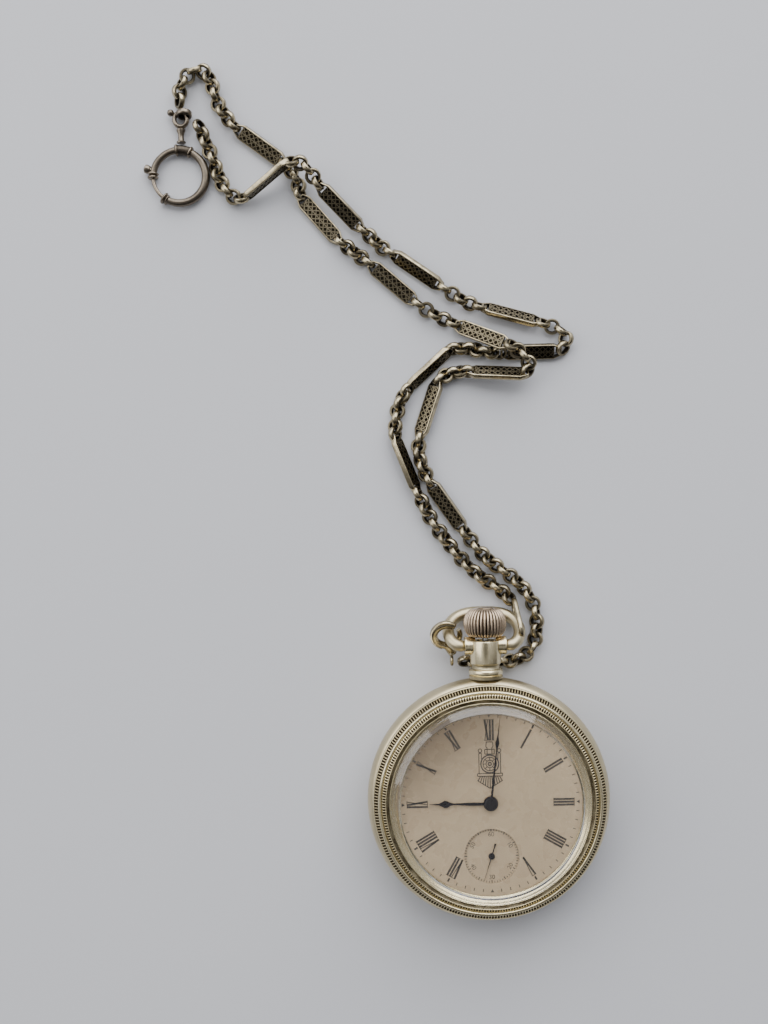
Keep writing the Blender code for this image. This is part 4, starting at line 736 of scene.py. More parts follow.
@dataclass
class Dial:
    """Printing of the dial and of the sunk seconds dial."""

    top: float = 14.3 * MM
    seconds_top: float = 13.65 * MM
    seconds_y: float = -12.33 * MM
    ink_depth: float = 0.02 * MM
    numeral_foot: float = 14.6 * MM
    numeral_head: float = 19.35 * MM
    upright_pitch: float = 0.66
    wide_pitch: float = 1.04
    numerals: tuple[tuple[int, str], ...] = field(default=(
        (12, "XII"), (1, "I"), (2, "II"), (3, "III"), (4, "IIII"), (5, "V"), (7, "VII"), (8, "VIII"), (9, "IX"),
        (10, "X"), (11, "XI")))

    def bar(self, ink: Gathered, start: Flat, end: Flat, weight: float, base: float) -> None:
        """A printed line from start to end, given in metres."""
        line = Vector(end) - Vector(start)
        bm = bmesh.new()
        bmesh.ops.create_cube(bm, size=1.0)
        middle = (Vector(start) + Vector(end)) / 2
        place = Matrix.Translation((*middle, base + self.ink_depth / 2))
        place @= Matrix.Rotation(math.atan2(line.y, line.x), 4, "Z")
        place @= Matrix.Diagonal((line.length, weight, self.ink_depth, 1.0))
        bmesh.ops.transform(bm, matrix=place, verts=bm.verts)
        ink.add(bm)

    def ring(self, ink: Gathered, centre: Flat, radius: float, weight: float, base: float, steps: int = 96) -> None:
        """A printed circle."""
        inner, outer, high = radius - weight / 2, radius + weight / 2, base + self.ink_depth
        bm = spun([(inner, base), (outer, base), (outer, high), (inner, high)], steps)
        ink.add(bm, Matrix.Translation((*centre, 0)))

    def ray(self, ink: Gathered, degrees: float, inner: float, outer: float, weight: float, base: float,
            centre: Flat = (0.0, 0.0)) -> None:
        """A printed radial mark, clockwise from 12."""
        way = Vector((math.sin(math.radians(degrees)), math.cos(math.radians(degrees))))
        self.bar(ink, Vector(centre) + way * inner, Vector(centre) + way * outer, weight, base)

    def triangle(self, ink: Gathered, degrees: float) -> None:
        """A small arrowhead on the minute track that points to the centre."""
        bm = bmesh.new()
        bmesh.ops.create_circle(bm, cap_ends=True, radius=0.50 * MM, segments=3)
        grown = bmesh.ops.extrude_face_region(bm, geom=bm.faces[:])["geom"]
        bmesh.ops.translate(bm, verts=list(filter(is_vert, grown)), vec=(0, 0, self.ink_depth))
        bmesh.ops.recalc_face_normals(bm, faces=bm.faces)
        place = Matrix.Rotation(-math.radians(degrees), 4, "Z") @ Matrix.Translation((0, 20.35 * MM, self.top))
        ink.add(bm, place @ Matrix.Rotation(math.pi, 4, "Z"))

    def numeral(self, ink: Gathered, hour: int, letters: str) -> None:
        """One roman numeral with its foot to the centre."""
        kinds = {"I": Stroke.UPRIGHT, "V": Stroke.VEE, "X": Stroke.CROSS}
        pitches = [self.upright_pitch if letter == "I" else self.wide_pitch for letter in letters]
        turn = Matrix.Rotation(-math.radians(30 * hour), 2)
        x = -sum(pitches) / 2
        for letter, pitch in zip(letters, pitches):
            middle = x + pitch / 2
            for head, foot, weight in kinds[letter].value:
                self.bar(ink, turn @ Vector(((middle + foot) * MM, self.numeral_foot)),
                         turn @ Vector(((middle + head) * MM, self.numeral_head)), weight * MM, self.top)
            for along in (self.numeral_foot, self.numeral_head):
                half = 0.30 if letter == "I" else 0.62
                if letter == "V" and along == self.numeral_foot:
                    half = 0.16
                self.bar(ink, turn @ Vector(((middle - half) * MM, along)),
                         turn @ Vector(((middle + half) * MM, along)), 0.15 * MM, self.top)
            x += pitch

    def track(self, ink: Gathered) -> None:
        """The minute track."""
        for minute in range(60):
            if minute % 15 == 0:
                self.triangle(ink, 6 * minute)
            elif minute % 5 == 0:
                self.ray(ink, 6 * minute, 19.75 * MM, 20.65 * MM, 0.42 * MM, self.top)
            else:
                self.ray(ink, 6 * minute, 19.90 * MM, 20.60 * MM, 0.20 * MM, self.top)

    def engine(self, ink: Gathered) -> None:
        """A plain front view of a steam engine in thin lines, made for this dial alone."""
        fine, heavy, y = 0.20 * MM, 0.32 * MM, 9.1 * MM
        for radius, weight in ((2.05, heavy), (1.55, fine), (0.85, fine), (0.35, heavy)):
            self.ring(ink, (0, y), radius * MM, weight, self.top, 64)
        for degrees in range(0, 360, 45):
            self.ray(ink, degrees, 0.95 * MM, 1.45 * MM, fine, self.top, (0, y))
        outline = [[(-0.55, 11.2), (-0.55, 12.9), (-0.85, 13.1), (-0.7, 14.2), (0.7, 14.2), (0.85, 13.1), (0.55, 12.9),
                    (0.55, 11.2)],
                   [(-1.1, 11.4), (-1.1, 12.5), (1.1, 12.5), (1.1, 11.4), (-1.1, 11.4)],
                   [(-2.5, 6.9), (-2.5, 11.6), (-1.9, 11.6), (-1.9, 10.2)],
                   [(2.5, 6.9), (2.5, 11.6), (1.9, 11.6), (1.9, 10.2)],
                   [(-2.9, 6.3), (-2.9, 6.9), (2.9, 6.9), (2.9, 6.3), (-2.9, 6.3)]]
        for line in outline:
            for start, end in zip(line, line[1:]):
                self.bar(ink, (start[0] * MM, start[1] * MM), (end[0] * MM, end[1] * MM), fine, self.top)
        for bar in range(-5, 6):
            foot = 3.5 + 0.34 * abs(bar)
            self.bar(ink, (0.44 * bar * MM, 6.25 * MM), (0.56 * bar * MM, foot * MM), 0.24 * MM, self.top)
        for side in (-1, 1):
            self.ring(ink, (side * 2.2 * MM, 12.2 * MM), 0.42 * MM, fine, self.top, 24)
            self.bar(ink, (0, 3.45 * MM), (side * 2.95 * MM, 5.3 * MM), fine, self.top)

    def seconds(self, ink: Gathered) -> None:
        """The track of the seconds dial."""
        centre = (0.0, self.seconds_y)
        for second in range(60):
            heavy = second % 5 == 0
            self.ray(ink, 6 * second, (5.62 if heavy else 5.82) * MM, 6.28 * MM, (0.22 if heavy else 0.14) * MM,
                     self.seconds_top, centre)
        for number in (10, 20, 30, 40, 50, 60):
            self.number(ink, number, centre)

    def number(self, ink: Gathered, number: int, centre: Flat) -> None:
        """A small upright number beside its mark."""
        curve = bpy.data.curves.new("number", "FONT")
        curve.body = str(number)
        curve.size = 1.45 * MM
        curve.align_x = curve.align_y = "CENTER"
        curve.extrude = self.ink_depth / 2
        text = bpy.data.objects.new("number", curve)
        mesh = bpy.data.meshes.new_from_object(text)
        angle = math.radians(6 * number)
        flip = math.pi if 15 < number < 45 else 0.0
        place = Matrix.Translation((centre[0] + 4.95 * MM * math.sin(angle), centre[1] + 4.95 * MM * math.cos(angle),
                                    self.seconds_top + self.ink_depth / 2))
        ink.add_mesh(mesh, place @ Matrix.Rotation(flip - angle, 4, "Z"))
        bpy.data.objects.remove(text)

    def build(self) -> None:
        """Print the dial."""
        ink = Gathered()
        for hour, letters in self.numerals:
            self.numeral(ink, hour, letters)
        self.track(ink)
        self.engine(ink)
        show("dial_printing", ink.bm, Finish.INK, "case")
        ink = Gathered()
        self.seconds(ink)
        show("seconds_printing", ink.bm, Finish.INK, "case")


@dataclass
class Hand:
    """One slim hand: a flat blade with its boss."""

    name: str
    body: str
    node: str
    level: float
    degrees: float
    outline: tuple[tuple[float, float], ...]
    boss: float
    centre: Flat = (0.0, 0.0)
    thickness: float = 0.2 * MM

    def build(self) -> None:
        """Make the hand."""
        left = [Vector((-half * MM, along * MM, 0)) for along, half in self.outline]
        right = [Vector((half * MM, along * MM, 0)) for along, half in self.outline if half]
        bm = bmesh.new()
        _, edges = add_chain(bm, left + right[::-1], True)
        bmesh.ops.edgeloop_fill(bm, edges=edges)
        grown = bmesh.ops.extrude_face_region(bm, geom=bm.faces[:])["geom"]
        bmesh.ops.translate(bm, verts=list(filter(is_vert, grown)), vec=(0, 0, self.thickness))
        bmesh.ops.recalc_face_normals(bm, faces=bm.faces)
        gathered = Gathered()
        turn = Matrix.Rotation(-math.radians(self.degrees), 4, "Z")
        place = Matrix.Translation((*self.centre, self.level))
        gathered.add(bm, place @ turn)
        side = oval_arc((self.boss - 0.12 * MM, 0.13 * MM), 0.12 * MM, 0.12 * MM, 0, 90, 5)
        profile = [(0, 0), (self.boss, 0)] + side + [(0, 0.25 * MM)]
        gathered.add(spun(profile, 48, False), place)
        show(self.name, gathered.bm, Finish.BLUED, self.body, [self.node], 40)


@dataclass
class Hands:
    """Hour, minute and seconds hands."""

    hour: Hand = field(default_factory=lambda: Hand(
        "hour_hand_blade", "hour", "hour_hand", 14.8 * MM, 270.6,
        ((-0.8, 0.32), (1.5, 0.30), (4.0, 0.36), (8.6, 0.17), (9.4, 0.36), (10.0, 0.74), (10.7, 0.86), (11.3, 0.48),
         (12.0, 0.20), (14.3, 0.0)), 1.7 * MM))
    minute: Hand = field(default_factory=lambda: Hand(
        "minute_hand_blade", "minute", "minute_hand", 15.4 * MM, 7.0,
        ((-0.8, 0.24), (1.5, 0.22), (5.0, 0.24), (12.9, 0.13), (13.6, 0.36), (14.3, 0.48), (15.0, 0.28),
         (15.9, 0.13), (20.6, 0.0)), 1.35 * MM))
    seconds: Hand = field(default_factory=lambda: Hand(
        "seconds_hand_blade", "fourth", "seconds_hand", 14.0 * MM, 198.0,
        ((-3.0, 0.22), (-2.2, 0.12), (0.0, 0.12), (6.0, 0.0)), 0.75 * MM, (0.0, -12.33 * MM)))

    def build(self) -> None:
        """Make the three hands."""
        for hand in (self.hour, self.minute, self.seconds):
            hand.build()


# ---- Chain ---------------------------------------------------------------------------
STRAND_1_ROUTE = (
    (-70.4, 167.0), (-70.3, 171.8), (-67.6, 175.4), (-64.2, 175.3), (-62.4, 171.6), (-61.0, 167.2), (-57.2, 162.0),
    (-51.0, 157.3), (-45.8, 153.2), (-42.6, 148.9), (-41.4, 144.0), (-37.4, 138.9), (-32.5, 133.8),
    (-28.3, 130.4), (-24.6, 127.6), (-19.6, 123.2), (-14.4, 118.6), (-9.5, 115.2), (-4.6, 112.9),
    (2.2, 109.8), (8.4, 106.6), (12.3, 102.6), (9.6, 99.2), (3.4, 100.4), (-3.5, 101.4),
    (-8.8, 99.9), (-11.2, 95.6), (-12.6, 91.0), (-14.3, 84.8), (-13.9, 79.6), (-11.2, 73.8),
    (-6.8, 67.3), (-2.4, 60.9), (1.4, 56.2), (6.6, 52.2), (10.4, 48.6), (12.9, 43.6), (13.1, 38.4),
    (11.8, 33.8), (7.0, 31.2), (0.0, 31.3))
STRAND_2_ROUTE = (
    (-66.4, 163.4), (-65.2, 160.6), (-64.0, 157.4), (-62.4, 153.4), (-61.0, 148.9), (-58.2, 145.2),
    (-54.2, 144.8), (-49.4, 148.4), (-44.4, 151.6), (-40.4, 151.0), (-37.0, 146.8), (-31.4, 140.6),
    (-25.8, 135.4), (-22.0, 131.8), (-17.4, 128.9), (-12.0, 124.8), (-6.3, 121.0), (-1.4, 118.0),
    (5.0, 116.0), (11.0, 114.1), (17.4, 112.4), (21.6, 109.9), (20.6, 106.3), (15.0, 105.6),
    (9.4, 106.0), (3.3, 106.0), (-2.4, 107.0), (-8.0, 106.3), (-13.6, 101.2), (-18.2, 95.4), (-19.7, 90.4),
    (-19.9, 85.0), (-17.2, 77.6), (-14.2, 70.9), (-11.6, 65.6), (-8.2, 60.6), (-4.2, 55.6),
    (0.0, 51.6), (4.2, 48.8), (7.6, 45.2))


class Route:
    """The smooth line that a strand follows."""

    def __init__(self, points: Sequence[Vector], crossing: Flat, lift: float, reach: float) -> None:
        """Lay the line.

        Args:
            points: places that it passes through.
            crossing: where it passes over the other strand.
            lift: how far it rises there.
            reach: how far from there the rise begins.
        """
        self.line = [points[0]]
        for index in range(len(points) - 1):
            before, after = points[max(index - 1, 0)], points[min(index + 2, len(points) - 1)]
            here, there = points[index], points[index + 1]
            self.line += list(interpolate_bezier(here, here + (there - before) / 6, there - (after - here) / 6,
                                                 there, 24))[1:]
        for point in self.line:
            away = (point.to_2d() - Vector(crossing)).length / reach
            if away < 1:
                point.z += lift * math.cos(away * math.pi / 2) ** 2
        self.lengths = [0.0]
        for start, end in zip(self.line, self.line[1:]):
            self.lengths.append(self.lengths[-1] + (end - start).length)

    @property
    def length(self) -> float:
        """Length of the whole line."""
        return self.lengths[-1]

    def at(self, distance: float) -> Vector:
        """The point at a distance along the line."""
        distance = min(max(distance, 0.0), self.length)
        index = next(i for i in range(1, len(self.lengths)) if self.lengths[i] >= distance - 1e-9)
        span = self.lengths[index] - self.lengths[index - 1]
        return self.line[index - 1].lerp(self.line[index], (distance - self.lengths[index - 1]) / span)

    def way(self, distance: float) -> Vector:
        """The direction of the line at a distance along it."""
        return (self.at(distance + 0.6 * MM) - self.at(distance - 0.6 * MM)).normalized()


@dataclass
class Link:
    """A round chain link of flat band."""

    radius: float = 1.95 * MM
    band: float = 0.80 * MM
    width: float = 1.25 * MM
    steps: int = 22

    def mesh(self) -> bpy.types.Mesh:
        """The link, round Z at the origin, worn bright outside and with painted shade in its hole."""
        inner, half, edge = self.radius - self.band, self.width / 2, 0.2 * MM
        profile = [(inner, half - edge), (inner, edge - half), (inner + edge, -half), (self.radius - edge, -half),
                   (self.radius, edge - half), (self.radius, half - edge), (self.radius - edge, half),
                   (inner + edge, half)]
        bm = spun(profile, self.steps)
        outer = self.radius - 0.1 * MM

        def rubbed(co: Vector) -> float:
            """Bright round the outside, dull on the sides and black in the hole, where the black is painted shade."""
            if math.hypot(co.x, co.y) > outer:
                return 0.95
            return -0.3 if math.hypot(co.x, co.y) < inner + 0.1 * MM else 0.42

        return kept_mesh(paint_wear(bm, rubbed), "link")

    def rest_height(self, roll: float) -> float:
        """Height of its middle above the table when it leans at roll."""
        standing = self.radius * abs(math.sin(roll)) + self.width / 2 * abs(math.cos(roll))
        return max(standing, self.radius - self.band + 0.25 * MM)


@dataclass
class Bar:
    """A long bar link: a polished rounded frame with two pierced panels, and a dark plate between them that is painted
    shade.
    """

    length: float = 14.8 * MM
    width: float = 3.7 * MM
    thickness: float = 1.35 * MM
    rim: float = 0.46 * MM
    taper: float = 1.9 * MM
    tip: float = 1.9 * MM
    hole: float = 1.5 * MM
    cells: int = 8
    strut: float = 0.20 * MM
    core: float = 0.25 * MM

    def frame_mesh(self) -> bmesh.types.BMesh:
        """The rim: an octagon inset, opened, thickened and rounded."""
        bm = bmesh.new()
        half, side, tip = self.length / 2, self.width / 2, self.tip / 2
        corners = [(half, -tip), (half, tip), (half - self.taper, side), (self.taper - half, side), (-half, tip),
                   (-half, -tip), (self.taper - half, -side), (half - self.taper, -side)]
        verts, edges = add_chain(bm, [Vector((x, y, -self.thickness / 2)) for x, y in corners], True)
        bmesh.ops.edgeloop_fill(bm, edges=edges)
        bmesh.ops.inset_region(bm, faces=bm.faces[:], thickness=self.rim, use_even_offset=True,
                                use_boundary=True)
        panel = [face for face in bm.faces if len(face.verts) == 8]
        bmesh.ops.delete(bm, geom=panel, context="FACES")
        grown = bmesh.ops.extrude_face_region(bm, geom=bm.faces[:])["geom"]
        bmesh.ops.translate(bm, verts=list(filter(is_vert, grown)), vec=(0, 0, self.thickness))
        bmesh.ops.recalc_face_normals(bm, faces=bm.faces)
        outer = [edge for edge in bm.edges if abs(edge.verts[0].co.z - edge.verts[1].co.z) < 1e-9
                 and all(max(abs(vert.co.x) / half, abs(vert.co.y) / side) > 0.93 for vert in edge.verts)]
        bmesh.ops.bevel(bm, geom=outer, offset=0.45 * self.rim, offset_type="OFFSET", affect="EDGES", segments=3,
                        profile=0.5, material=-1)
        # Bright on the outer rim edges and dark on the inner faces round the panels; the dark is painted shade.
        return paint_wear(bm, lambda co: 1.0 if abs(co.y) > side - 0.8 * self.rim or abs(co.x) > half - self.rim
                          else -0.2)

    def panel(self, gathered: Gathered, height: float) -> None:
        """One pierced face: a middle rail and two rows of crossed struts."""
        reach = self.length / 2 - self.hole - 0.4 * MM
        inner = self.width / 2 - self.rim
        self.rail(gathered, (-reach, 0), (reach, 0), height)
        for x in (-reach, reach):
            self.rail(gathered, (x, -inner), (x, inner), height)
        cell = 2 * reach / self.cells
        for index in range(self.cells):
            x = -reach + cell * index
            for low, high in ((0, inner), (-inner, 0)):
                self.rail(gathered, (x, low), (x + cell, high), height)
                self.rail(gathered, (x, high), (x + cell, low), height)

    def rail(self, gathered: Gathered, start: Flat, end: Flat, height: float) -> None:
        """A thin strut of a panel."""
        line = Vector(end) - Vector(start)
        bm = bmesh.new()
        bmesh.ops.create_cube(bm, size=1.0)
        middle = (Vector(start) + Vector(end)) / 2
        place = Matrix.Translation((*middle, height)) @ Matrix.Rotation(math.atan2(line.y, line.x), 4, "Z")
        place @= Matrix.Diagonal((line.length, self.strut, self.strut, 1.0))
        bmesh.ops.transform(bm, matrix=place, verts=bm.verts)
        # Faces that look into the bar are dark: painted shade.
        gathered.add(paint_wear(bm, lambda co: 0.46 if (co.z > height) == (height > 0) else -0.3))

    def mesh(self) -> bpy.types.Mesh:
        """The whole bar, along X at the origin."""
        gathered = Gathered()
        gathered.add(self.frame_mesh())
        # A dark plate between the two panels: painted shade, so the inside of the pierced bar reads dark.
        core = bmesh.new()
        bmesh.ops.create_cube(core, size=1.0)
        size = (self.length - 2 * self.hole - 0.8 * MM, self.width - 1.6 * self.rim, self.core)
        bmesh.ops.transform(core, matrix=Matrix.Diagonal((*size, 1.0)), verts=core.verts)
        gathered.add(paint_wear(core, lambda co: -0.6))
        for side in (-1, 1):
            self.panel(gathered, side * (self.thickness / 2 - self.strut / 2 - 0.08 * MM))
        return kept_mesh(gathered.bm, "bar")

    def rest_height(self, roll: float) -> float:
        """Height of its middle above the table when it leans at roll."""
        return self.width / 2 * abs(math.sin(roll)) + self.thickness / 2 * abs(math.cos(roll)) + 0.05 * MM


@dataclass
class Strand:
    """One strand: pierced bars with round links between them."""

    name: str
    route: Route
    bars: tuple[tuple[float, float], ...]
    table_gap: float = 1.9 * MM
    link: Link = field(default_factory=Link)
    bar: Bar = field(default_factory=Bar)
    pitch: float = 2.2 * MM
    base_roll: float = 28.0
    sway: float = 16.0

    def place(self, middle: Vector, way: Vector, roll: float) -> Matrix:
        """Matrix of a piece along way, rolled about it."""
        across = Vector((0, 0, 1)).cross(way).normalized()
        up = way.cross(across)
        turn = Matrix((way, across, up)).transposed().to_4x4()
        return Matrix.Translation(middle) @ turn @ Matrix.Rotation(roll, 4, "X")

    def lowered(self, point: Vector, rest: float) -> Vector:
        """The point let down until a piece of that rest height lies on the table."""
        return point + Vector((0, 0, rest - self.table_gap))

    def links(self, gathered: Gathered, mesh: bpy.types.Mesh, start: float, end: float) -> None:
        """Links that fill the line from start to end, flat and edge-on in turn."""
        count = max(1, round((end - start) / self.pitch))
        if count % 2 == 0:
            count += 1
        for index in range(count):
            distance = start + (end - start) * (index + 0.5) / count
            lean = self.base_roll + self.sway * math.sin(0.9 * index + 7 * distance / self.route.length * math.tau)
            roll = math.radians(lean + (0 if index % 2 else 90))
            point = self.lowered(self.route.at(distance), self.link.rest_height(roll))
            gathered.add_mesh(mesh, self.place(point, self.route.way(distance), roll))

    def mesh(self) -> bmesh.types.BMesh:
        """The whole strand."""
        gathered = Gathered()
        link, bar = self.link.mesh(), self.bar.mesh()
        reach = self.bar.length - 1.3 * MM
        done = 0.4 * MM
        for start, roll in self.bars:
            start = start * MM
            self.links(gathered, link, done, start)
            rest = self.bar.rest_height(math.radians(roll))
            ends = [self.lowered(self.route.at(start + shift), rest) for shift in (0.0, reach)]
            way = (ends[1] - ends[0]).normalized()
            gathered.add_mesh(bar, self.place((ends[0] + ends[1]) / 2, way, math.radians(roll)))
            done = start + reach
        self.links(gathered, link, done, self.route.length - 0.4 * MM)
        bpy.data.meshes.remove(link)
        bpy.data.meshes.remove(bar)
        return gathered.bm

    def path(self) -> list[Vector]:
        """Points along the strand, about 3 mm apart."""
        count = round(self.route.length / (3 * MM))
        return [self.route.at(self.route.length * i / count) for i in range(count + 1)]


@dataclass
class Clasp:
    """Swivel clasp on the bow's left limb, and the long link on the right limb."""

    centre: Vector = field(default_factory=lambda: Vector((-8.9, 38.3, 6.6)) * MM)
    tilt: float = 31.0
    radius: float = 3.1 * MM
    wire: float = 1.02 * MM

    @property
    def along(self) -> Vector:
        """First direction of the hook's plane."""
        return Vector((1, 0, 0))

    @property
    def across(self) -> Vector:
        """Second direction of the hook's plane."""
        tilt = math.radians(self.tilt)
        return Vector((0, math.cos(tilt), math.sin(tilt)))

    def arc(self, radius: float, start: float, end: float, count: int) -> list[Vector]:
        """Points of an arc in the hook's plane, angles in degrees."""
        return [self.centre + self.along * x + self.across * y
                for x, y in oval_arc((0, 0), radius, radius, start, end, count)]

    def shank_end(self) -> Vector:
        """The end of the hook's shank."""
        return self.centre - 5.6 * MM * self.across + 1.3 * MM * self.along

    def eye(self) -> Vector:
        """The middle of the swivel's ring."""
        return self.shank_end() - (0.3 * self.wire + 1.75 * MM) * self.across

    def hook(self) -> bpy.types.Object:
        """The hook, with a milled rail along each side."""
        normal = self.along.cross(self.across)
        points = self.arc(self.radius, 52, 262, 40)
        points += [self.centre - 3.4 * MM * self.across + 0.15 * MM * self.along,
                   self.centre - 4.0 * MM * self.across + 0.6 * MM * self.along, self.shank_end()]
        scales = [0.70 + 0.3 * min(1, i / 8) for i in range(40)] + [1.0, 1.1, 0.9]
        gathered = Gathered()
        body = swept(points, round_section(0.92 * self.wire, 16), up=normal, scales=scales)
        gathered.add(paint_wear(body, lambda co: 0.72))
        for radius in (self.radius + 0.62 * self.wire, self.radius - 0.62 * self.wire):
            rail = self.arc(radius, 62, 252, 121)
            rail = [point + normal * 0.62 * self.wire for point in rail]
            beads = [1.0 + 0.28 * (-1) ** i for i in range(121)]
            shape = swept(rail, round_section(0.20 * MM, 8), up=normal, scales=beads)
            gathered.add(paint_wear(shape, lambda co: 0.9))
        collar = self.shank_end() + 0.5 * MM * self.across
        shape = swept([collar - 0.3 * MM * self.across, collar, collar + 0.3 * MM * self.across],
                      round_section(1.15 * MM, 16), up=normal, scales=[0.85, 1.0, 0.85])
        gathered.add(paint_wear(shape, lambda co: 0.9))
        return show("clasp_hook", gathered.bm, Finish.CHAIN, "bow", ["swivel_hook"], 45)

    def gate(self) -> bpy.types.Object:
        """The sprung gate."""
        points = self.arc(self.radius + 0.05 * MM, 28, -62, 20)
        normal = self.along.cross(self.across)
        bm = swept(points, round_section(0.7 * self.wire, 14), up=normal,
                   scales=[0.75 + 0.25 * min(1, i / 6) for i in range(20)])
        paint_wear(bm, lambda co: 0.7)
        return show("clasp_gate", bm, Finish.CHAIN, "gate", ["hook_gate"], 45)

    def swivel(self) -> bpy.types.Object:
        """The swivel's ring."""
        along = Vector((0, 0, 1)).cross(self.across).cross(self.across).normalized()
        eye = self.eye()
        points = [eye + self.across * x + along * y for x, y in oval_arc((0, 0), MM, MM, 0, 345, 24)]
        bm = swept(points, round_section(0.4 * MM, 10), True, up=self.across.cross(along))
        paint_wear(bm, lambda co: 0.8)
        return show("clasp_swivel_ring", bm, Finish.CHAIN, "swivel", ["swivel_eye"], 45)

    def long_link(self, bow: Pendant) -> bpy.types.Object:
        """The long oval link that holds the bow's right limb."""
        angle = math.radians(14)
        widest = 0.42 * bow.bow_reach
        limb = bow.bow_point(bow.bow_half_width * math.cos(angle) ** 0.72,
                             widest + (bow.bow_reach - widest) * math.sin(angle))
        low, high = limb + Vector((0.35, -1.2, 2.6)) * MM, Vector((7.9, 44.7, 2.2)) * MM
        way = (high - low).normalized()
        side = way.cross(Vector((1, 0, 0.12)).normalized()).normalized()
        half, wide = (high - low).length / 2 - 0.3 * MM, 2.15 * MM
        points = []
        for x, y in oval_arc((half - 0.6 * MM, 0), wide, wide, -90, 90, 14):
            points.append((low + high) / 2 + way * x + side * y)
        for x, y in oval_arc((0.6 * MM - half, 0), wide, wide, 90, 270, 14):
            points.append((low + high) / 2 + way * x + side * y)
        bm = swept(points, [(0.62 * u, 0.45 * v) for u, v in round_section(MM, 12)], True, up=way.cross(side))
        paint_wear(bm, lambda co: 0.85)
        return show("bow_long_link", bm, Finish.CHAIN, "bow", ["bow_link"], 45)


@dataclass
class BoltRing:
    """Spring ring with its bolt, collars, swivel post and shackle."""

    centre: Vector = field(default_factory=lambda: Vector((-71.0, 150.3, 1.41)) * MM)
    radius: float = 6.4 * MM
    wire: float = 0.85 * MM

    def arc(self, start: float, end: float, count: int, radius: "float | None" = None) -> list[Vector]:
        """Points round the ring, angles in degrees."""
        radius = radius or self.radius
        return [self.centre + Vector((x, y, 0)) for x, y in oval_arc((0, 0), radius, radius, start, end, count)]

    def bead(self, gathered: Gathered, degrees: float, half_angle: float, radius: float, peak: float = 1.0) -> None:
        """A raised round bead on the ring."""
        count = 7
        points = self.arc(degrees - half_angle, degrees + half_angle, count)
        scales = [peak * (0.80 + 0.20 * math.sin(math.pi * i / (count - 1))) for i in range(count)]
        shape = swept(points, round_section(radius, 20), scales=scales)
        gathered.add(paint_wear(shape, lambda co: 0.95))

    def body(self) -> bpy.types.Object:
        """The hollow ring with its collars."""
        gathered = Gathered()
        count = 72
        points = self.arc(174, -125, count)
        scales = [1.0 + 0.16 * math.sin(math.pi * max(0, i - 24) / (count - 24)) for i in range(count)]
        body = swept(points, round_section(self.wire, 18), scales=scales)
        gathered.add(paint_wear(body, lambda co: 0.55))
        collar = swept(self.arc(66, 94, 11), round_section(1.40 * self.wire, 20))
        gathered.add(paint_wear(collar, lambda co: 0.35))
        for degrees, half_angle, size in ((65, 3.4, 1.72), (95, 3.4, 1.72), (173, 3.2, 1.62), (181, 3.2, 1.62),
                                          (-119, 2.6, 1.50), (-126, 3.2, 1.80)):
            self.bead(gathered, degrees, half_angle, size * self.wire)
        return show("spring_ring", gathered.bm, Finish.GUNMETAL, "case", ["bolt_ring_body"], 45)

    def bolt(self) -> bpy.types.Object:
        """The sliding bolt with its thumb knob."""
        gathered = Gathered()
        bolt = swept(self.arc(112, 229, 48), round_section(0.46 * MM, 12))
        gathered.add(paint_wear(bolt, lambda co: 0.75))
        angle = math.radians(166)
        out = Vector((math.cos(angle), math.sin(angle), 0))
        shares = ((0.1, 0.5), (0.9, 0.5), (1.0, 0.8), (1.6, 0.95), (2.1, 0.9), (2.35, 0.6))
        knob = swept([self.centre + out * (self.radius + along * MM) for along, _ in shares],
                     round_section(1.15 * MM, 16), scales=[share for _, share in shares])
        gathered.add(paint_wear(knob, lambda co: 0.9))
        return show("spring_ring_bolt", gathered.bm, Finish.GUNMETAL, "bolt", ["ring_bolt"], 45)

    def swivel(self) -> list[bpy.types.Object]:
        """The post on the collar and the shackle over it."""
        y = Vector((0, 1, 0))
        base = self.centre + y * (self.radius + 1.6 * self.wire + 0.3 * MM) + Vector((0.6 * MM, 0, 0))
        shares = ((0.0, 1.0), (0.3, 1.05), (0.5, 0.72), (1.2, 0.62), (2.2, 0.66), (2.9, 0.98), (3.3, 0.98), (3.4, 0.8))
        post = swept([base + y * along * MM for along, _ in shares], round_section(1.10 * MM, 16),
                     scales=[share for _, share in shares])
        paint_wear(post, lambda co: 0.6)
        first = show("ring_swivel_post", post, Finish.GUNMETAL, "ring_swivel", ["swivel_post"], 45)
        loop = base + y * 5.75 * MM
        points = [loop + Vector((x, z, 0)) for x, z in oval_arc((0, 0), 1.55 * MM, 1.75 * MM, 0, 345, 24)]
        shape = swept(points, [(0.80 * u, 0.55 * v) for u, v in round_section(MM, 12)], True)
        gathered = Gathered()
        gathered.add(paint_wear(shape, lambda co: 0.85))
        link = Link().mesh()
        gathered.add_mesh(link, Matrix.Translation(loop + Vector((0.9, 1.1, 0.5)) * MM)
                          @ Matrix.Rotation(math.radians(78), 4, "X"))
        bpy.data.meshes.remove(link)
        ball = bmesh.new()
        bmesh.ops.create_uvsphere(ball, u_segments=16, v_segments=10, radius=0.85 * MM)
        gathered.add(paint_wear(ball, lambda co: 0.9), Matrix.Translation(loop + Vector((-2.4, 1.6, 0.2)) * MM))
        second = show("ring_shackle_pin", gathered.bm, Finish.GUNMETAL, "ring_swivel",
                      ["ring_shackle"], 45)
        return [first, second]


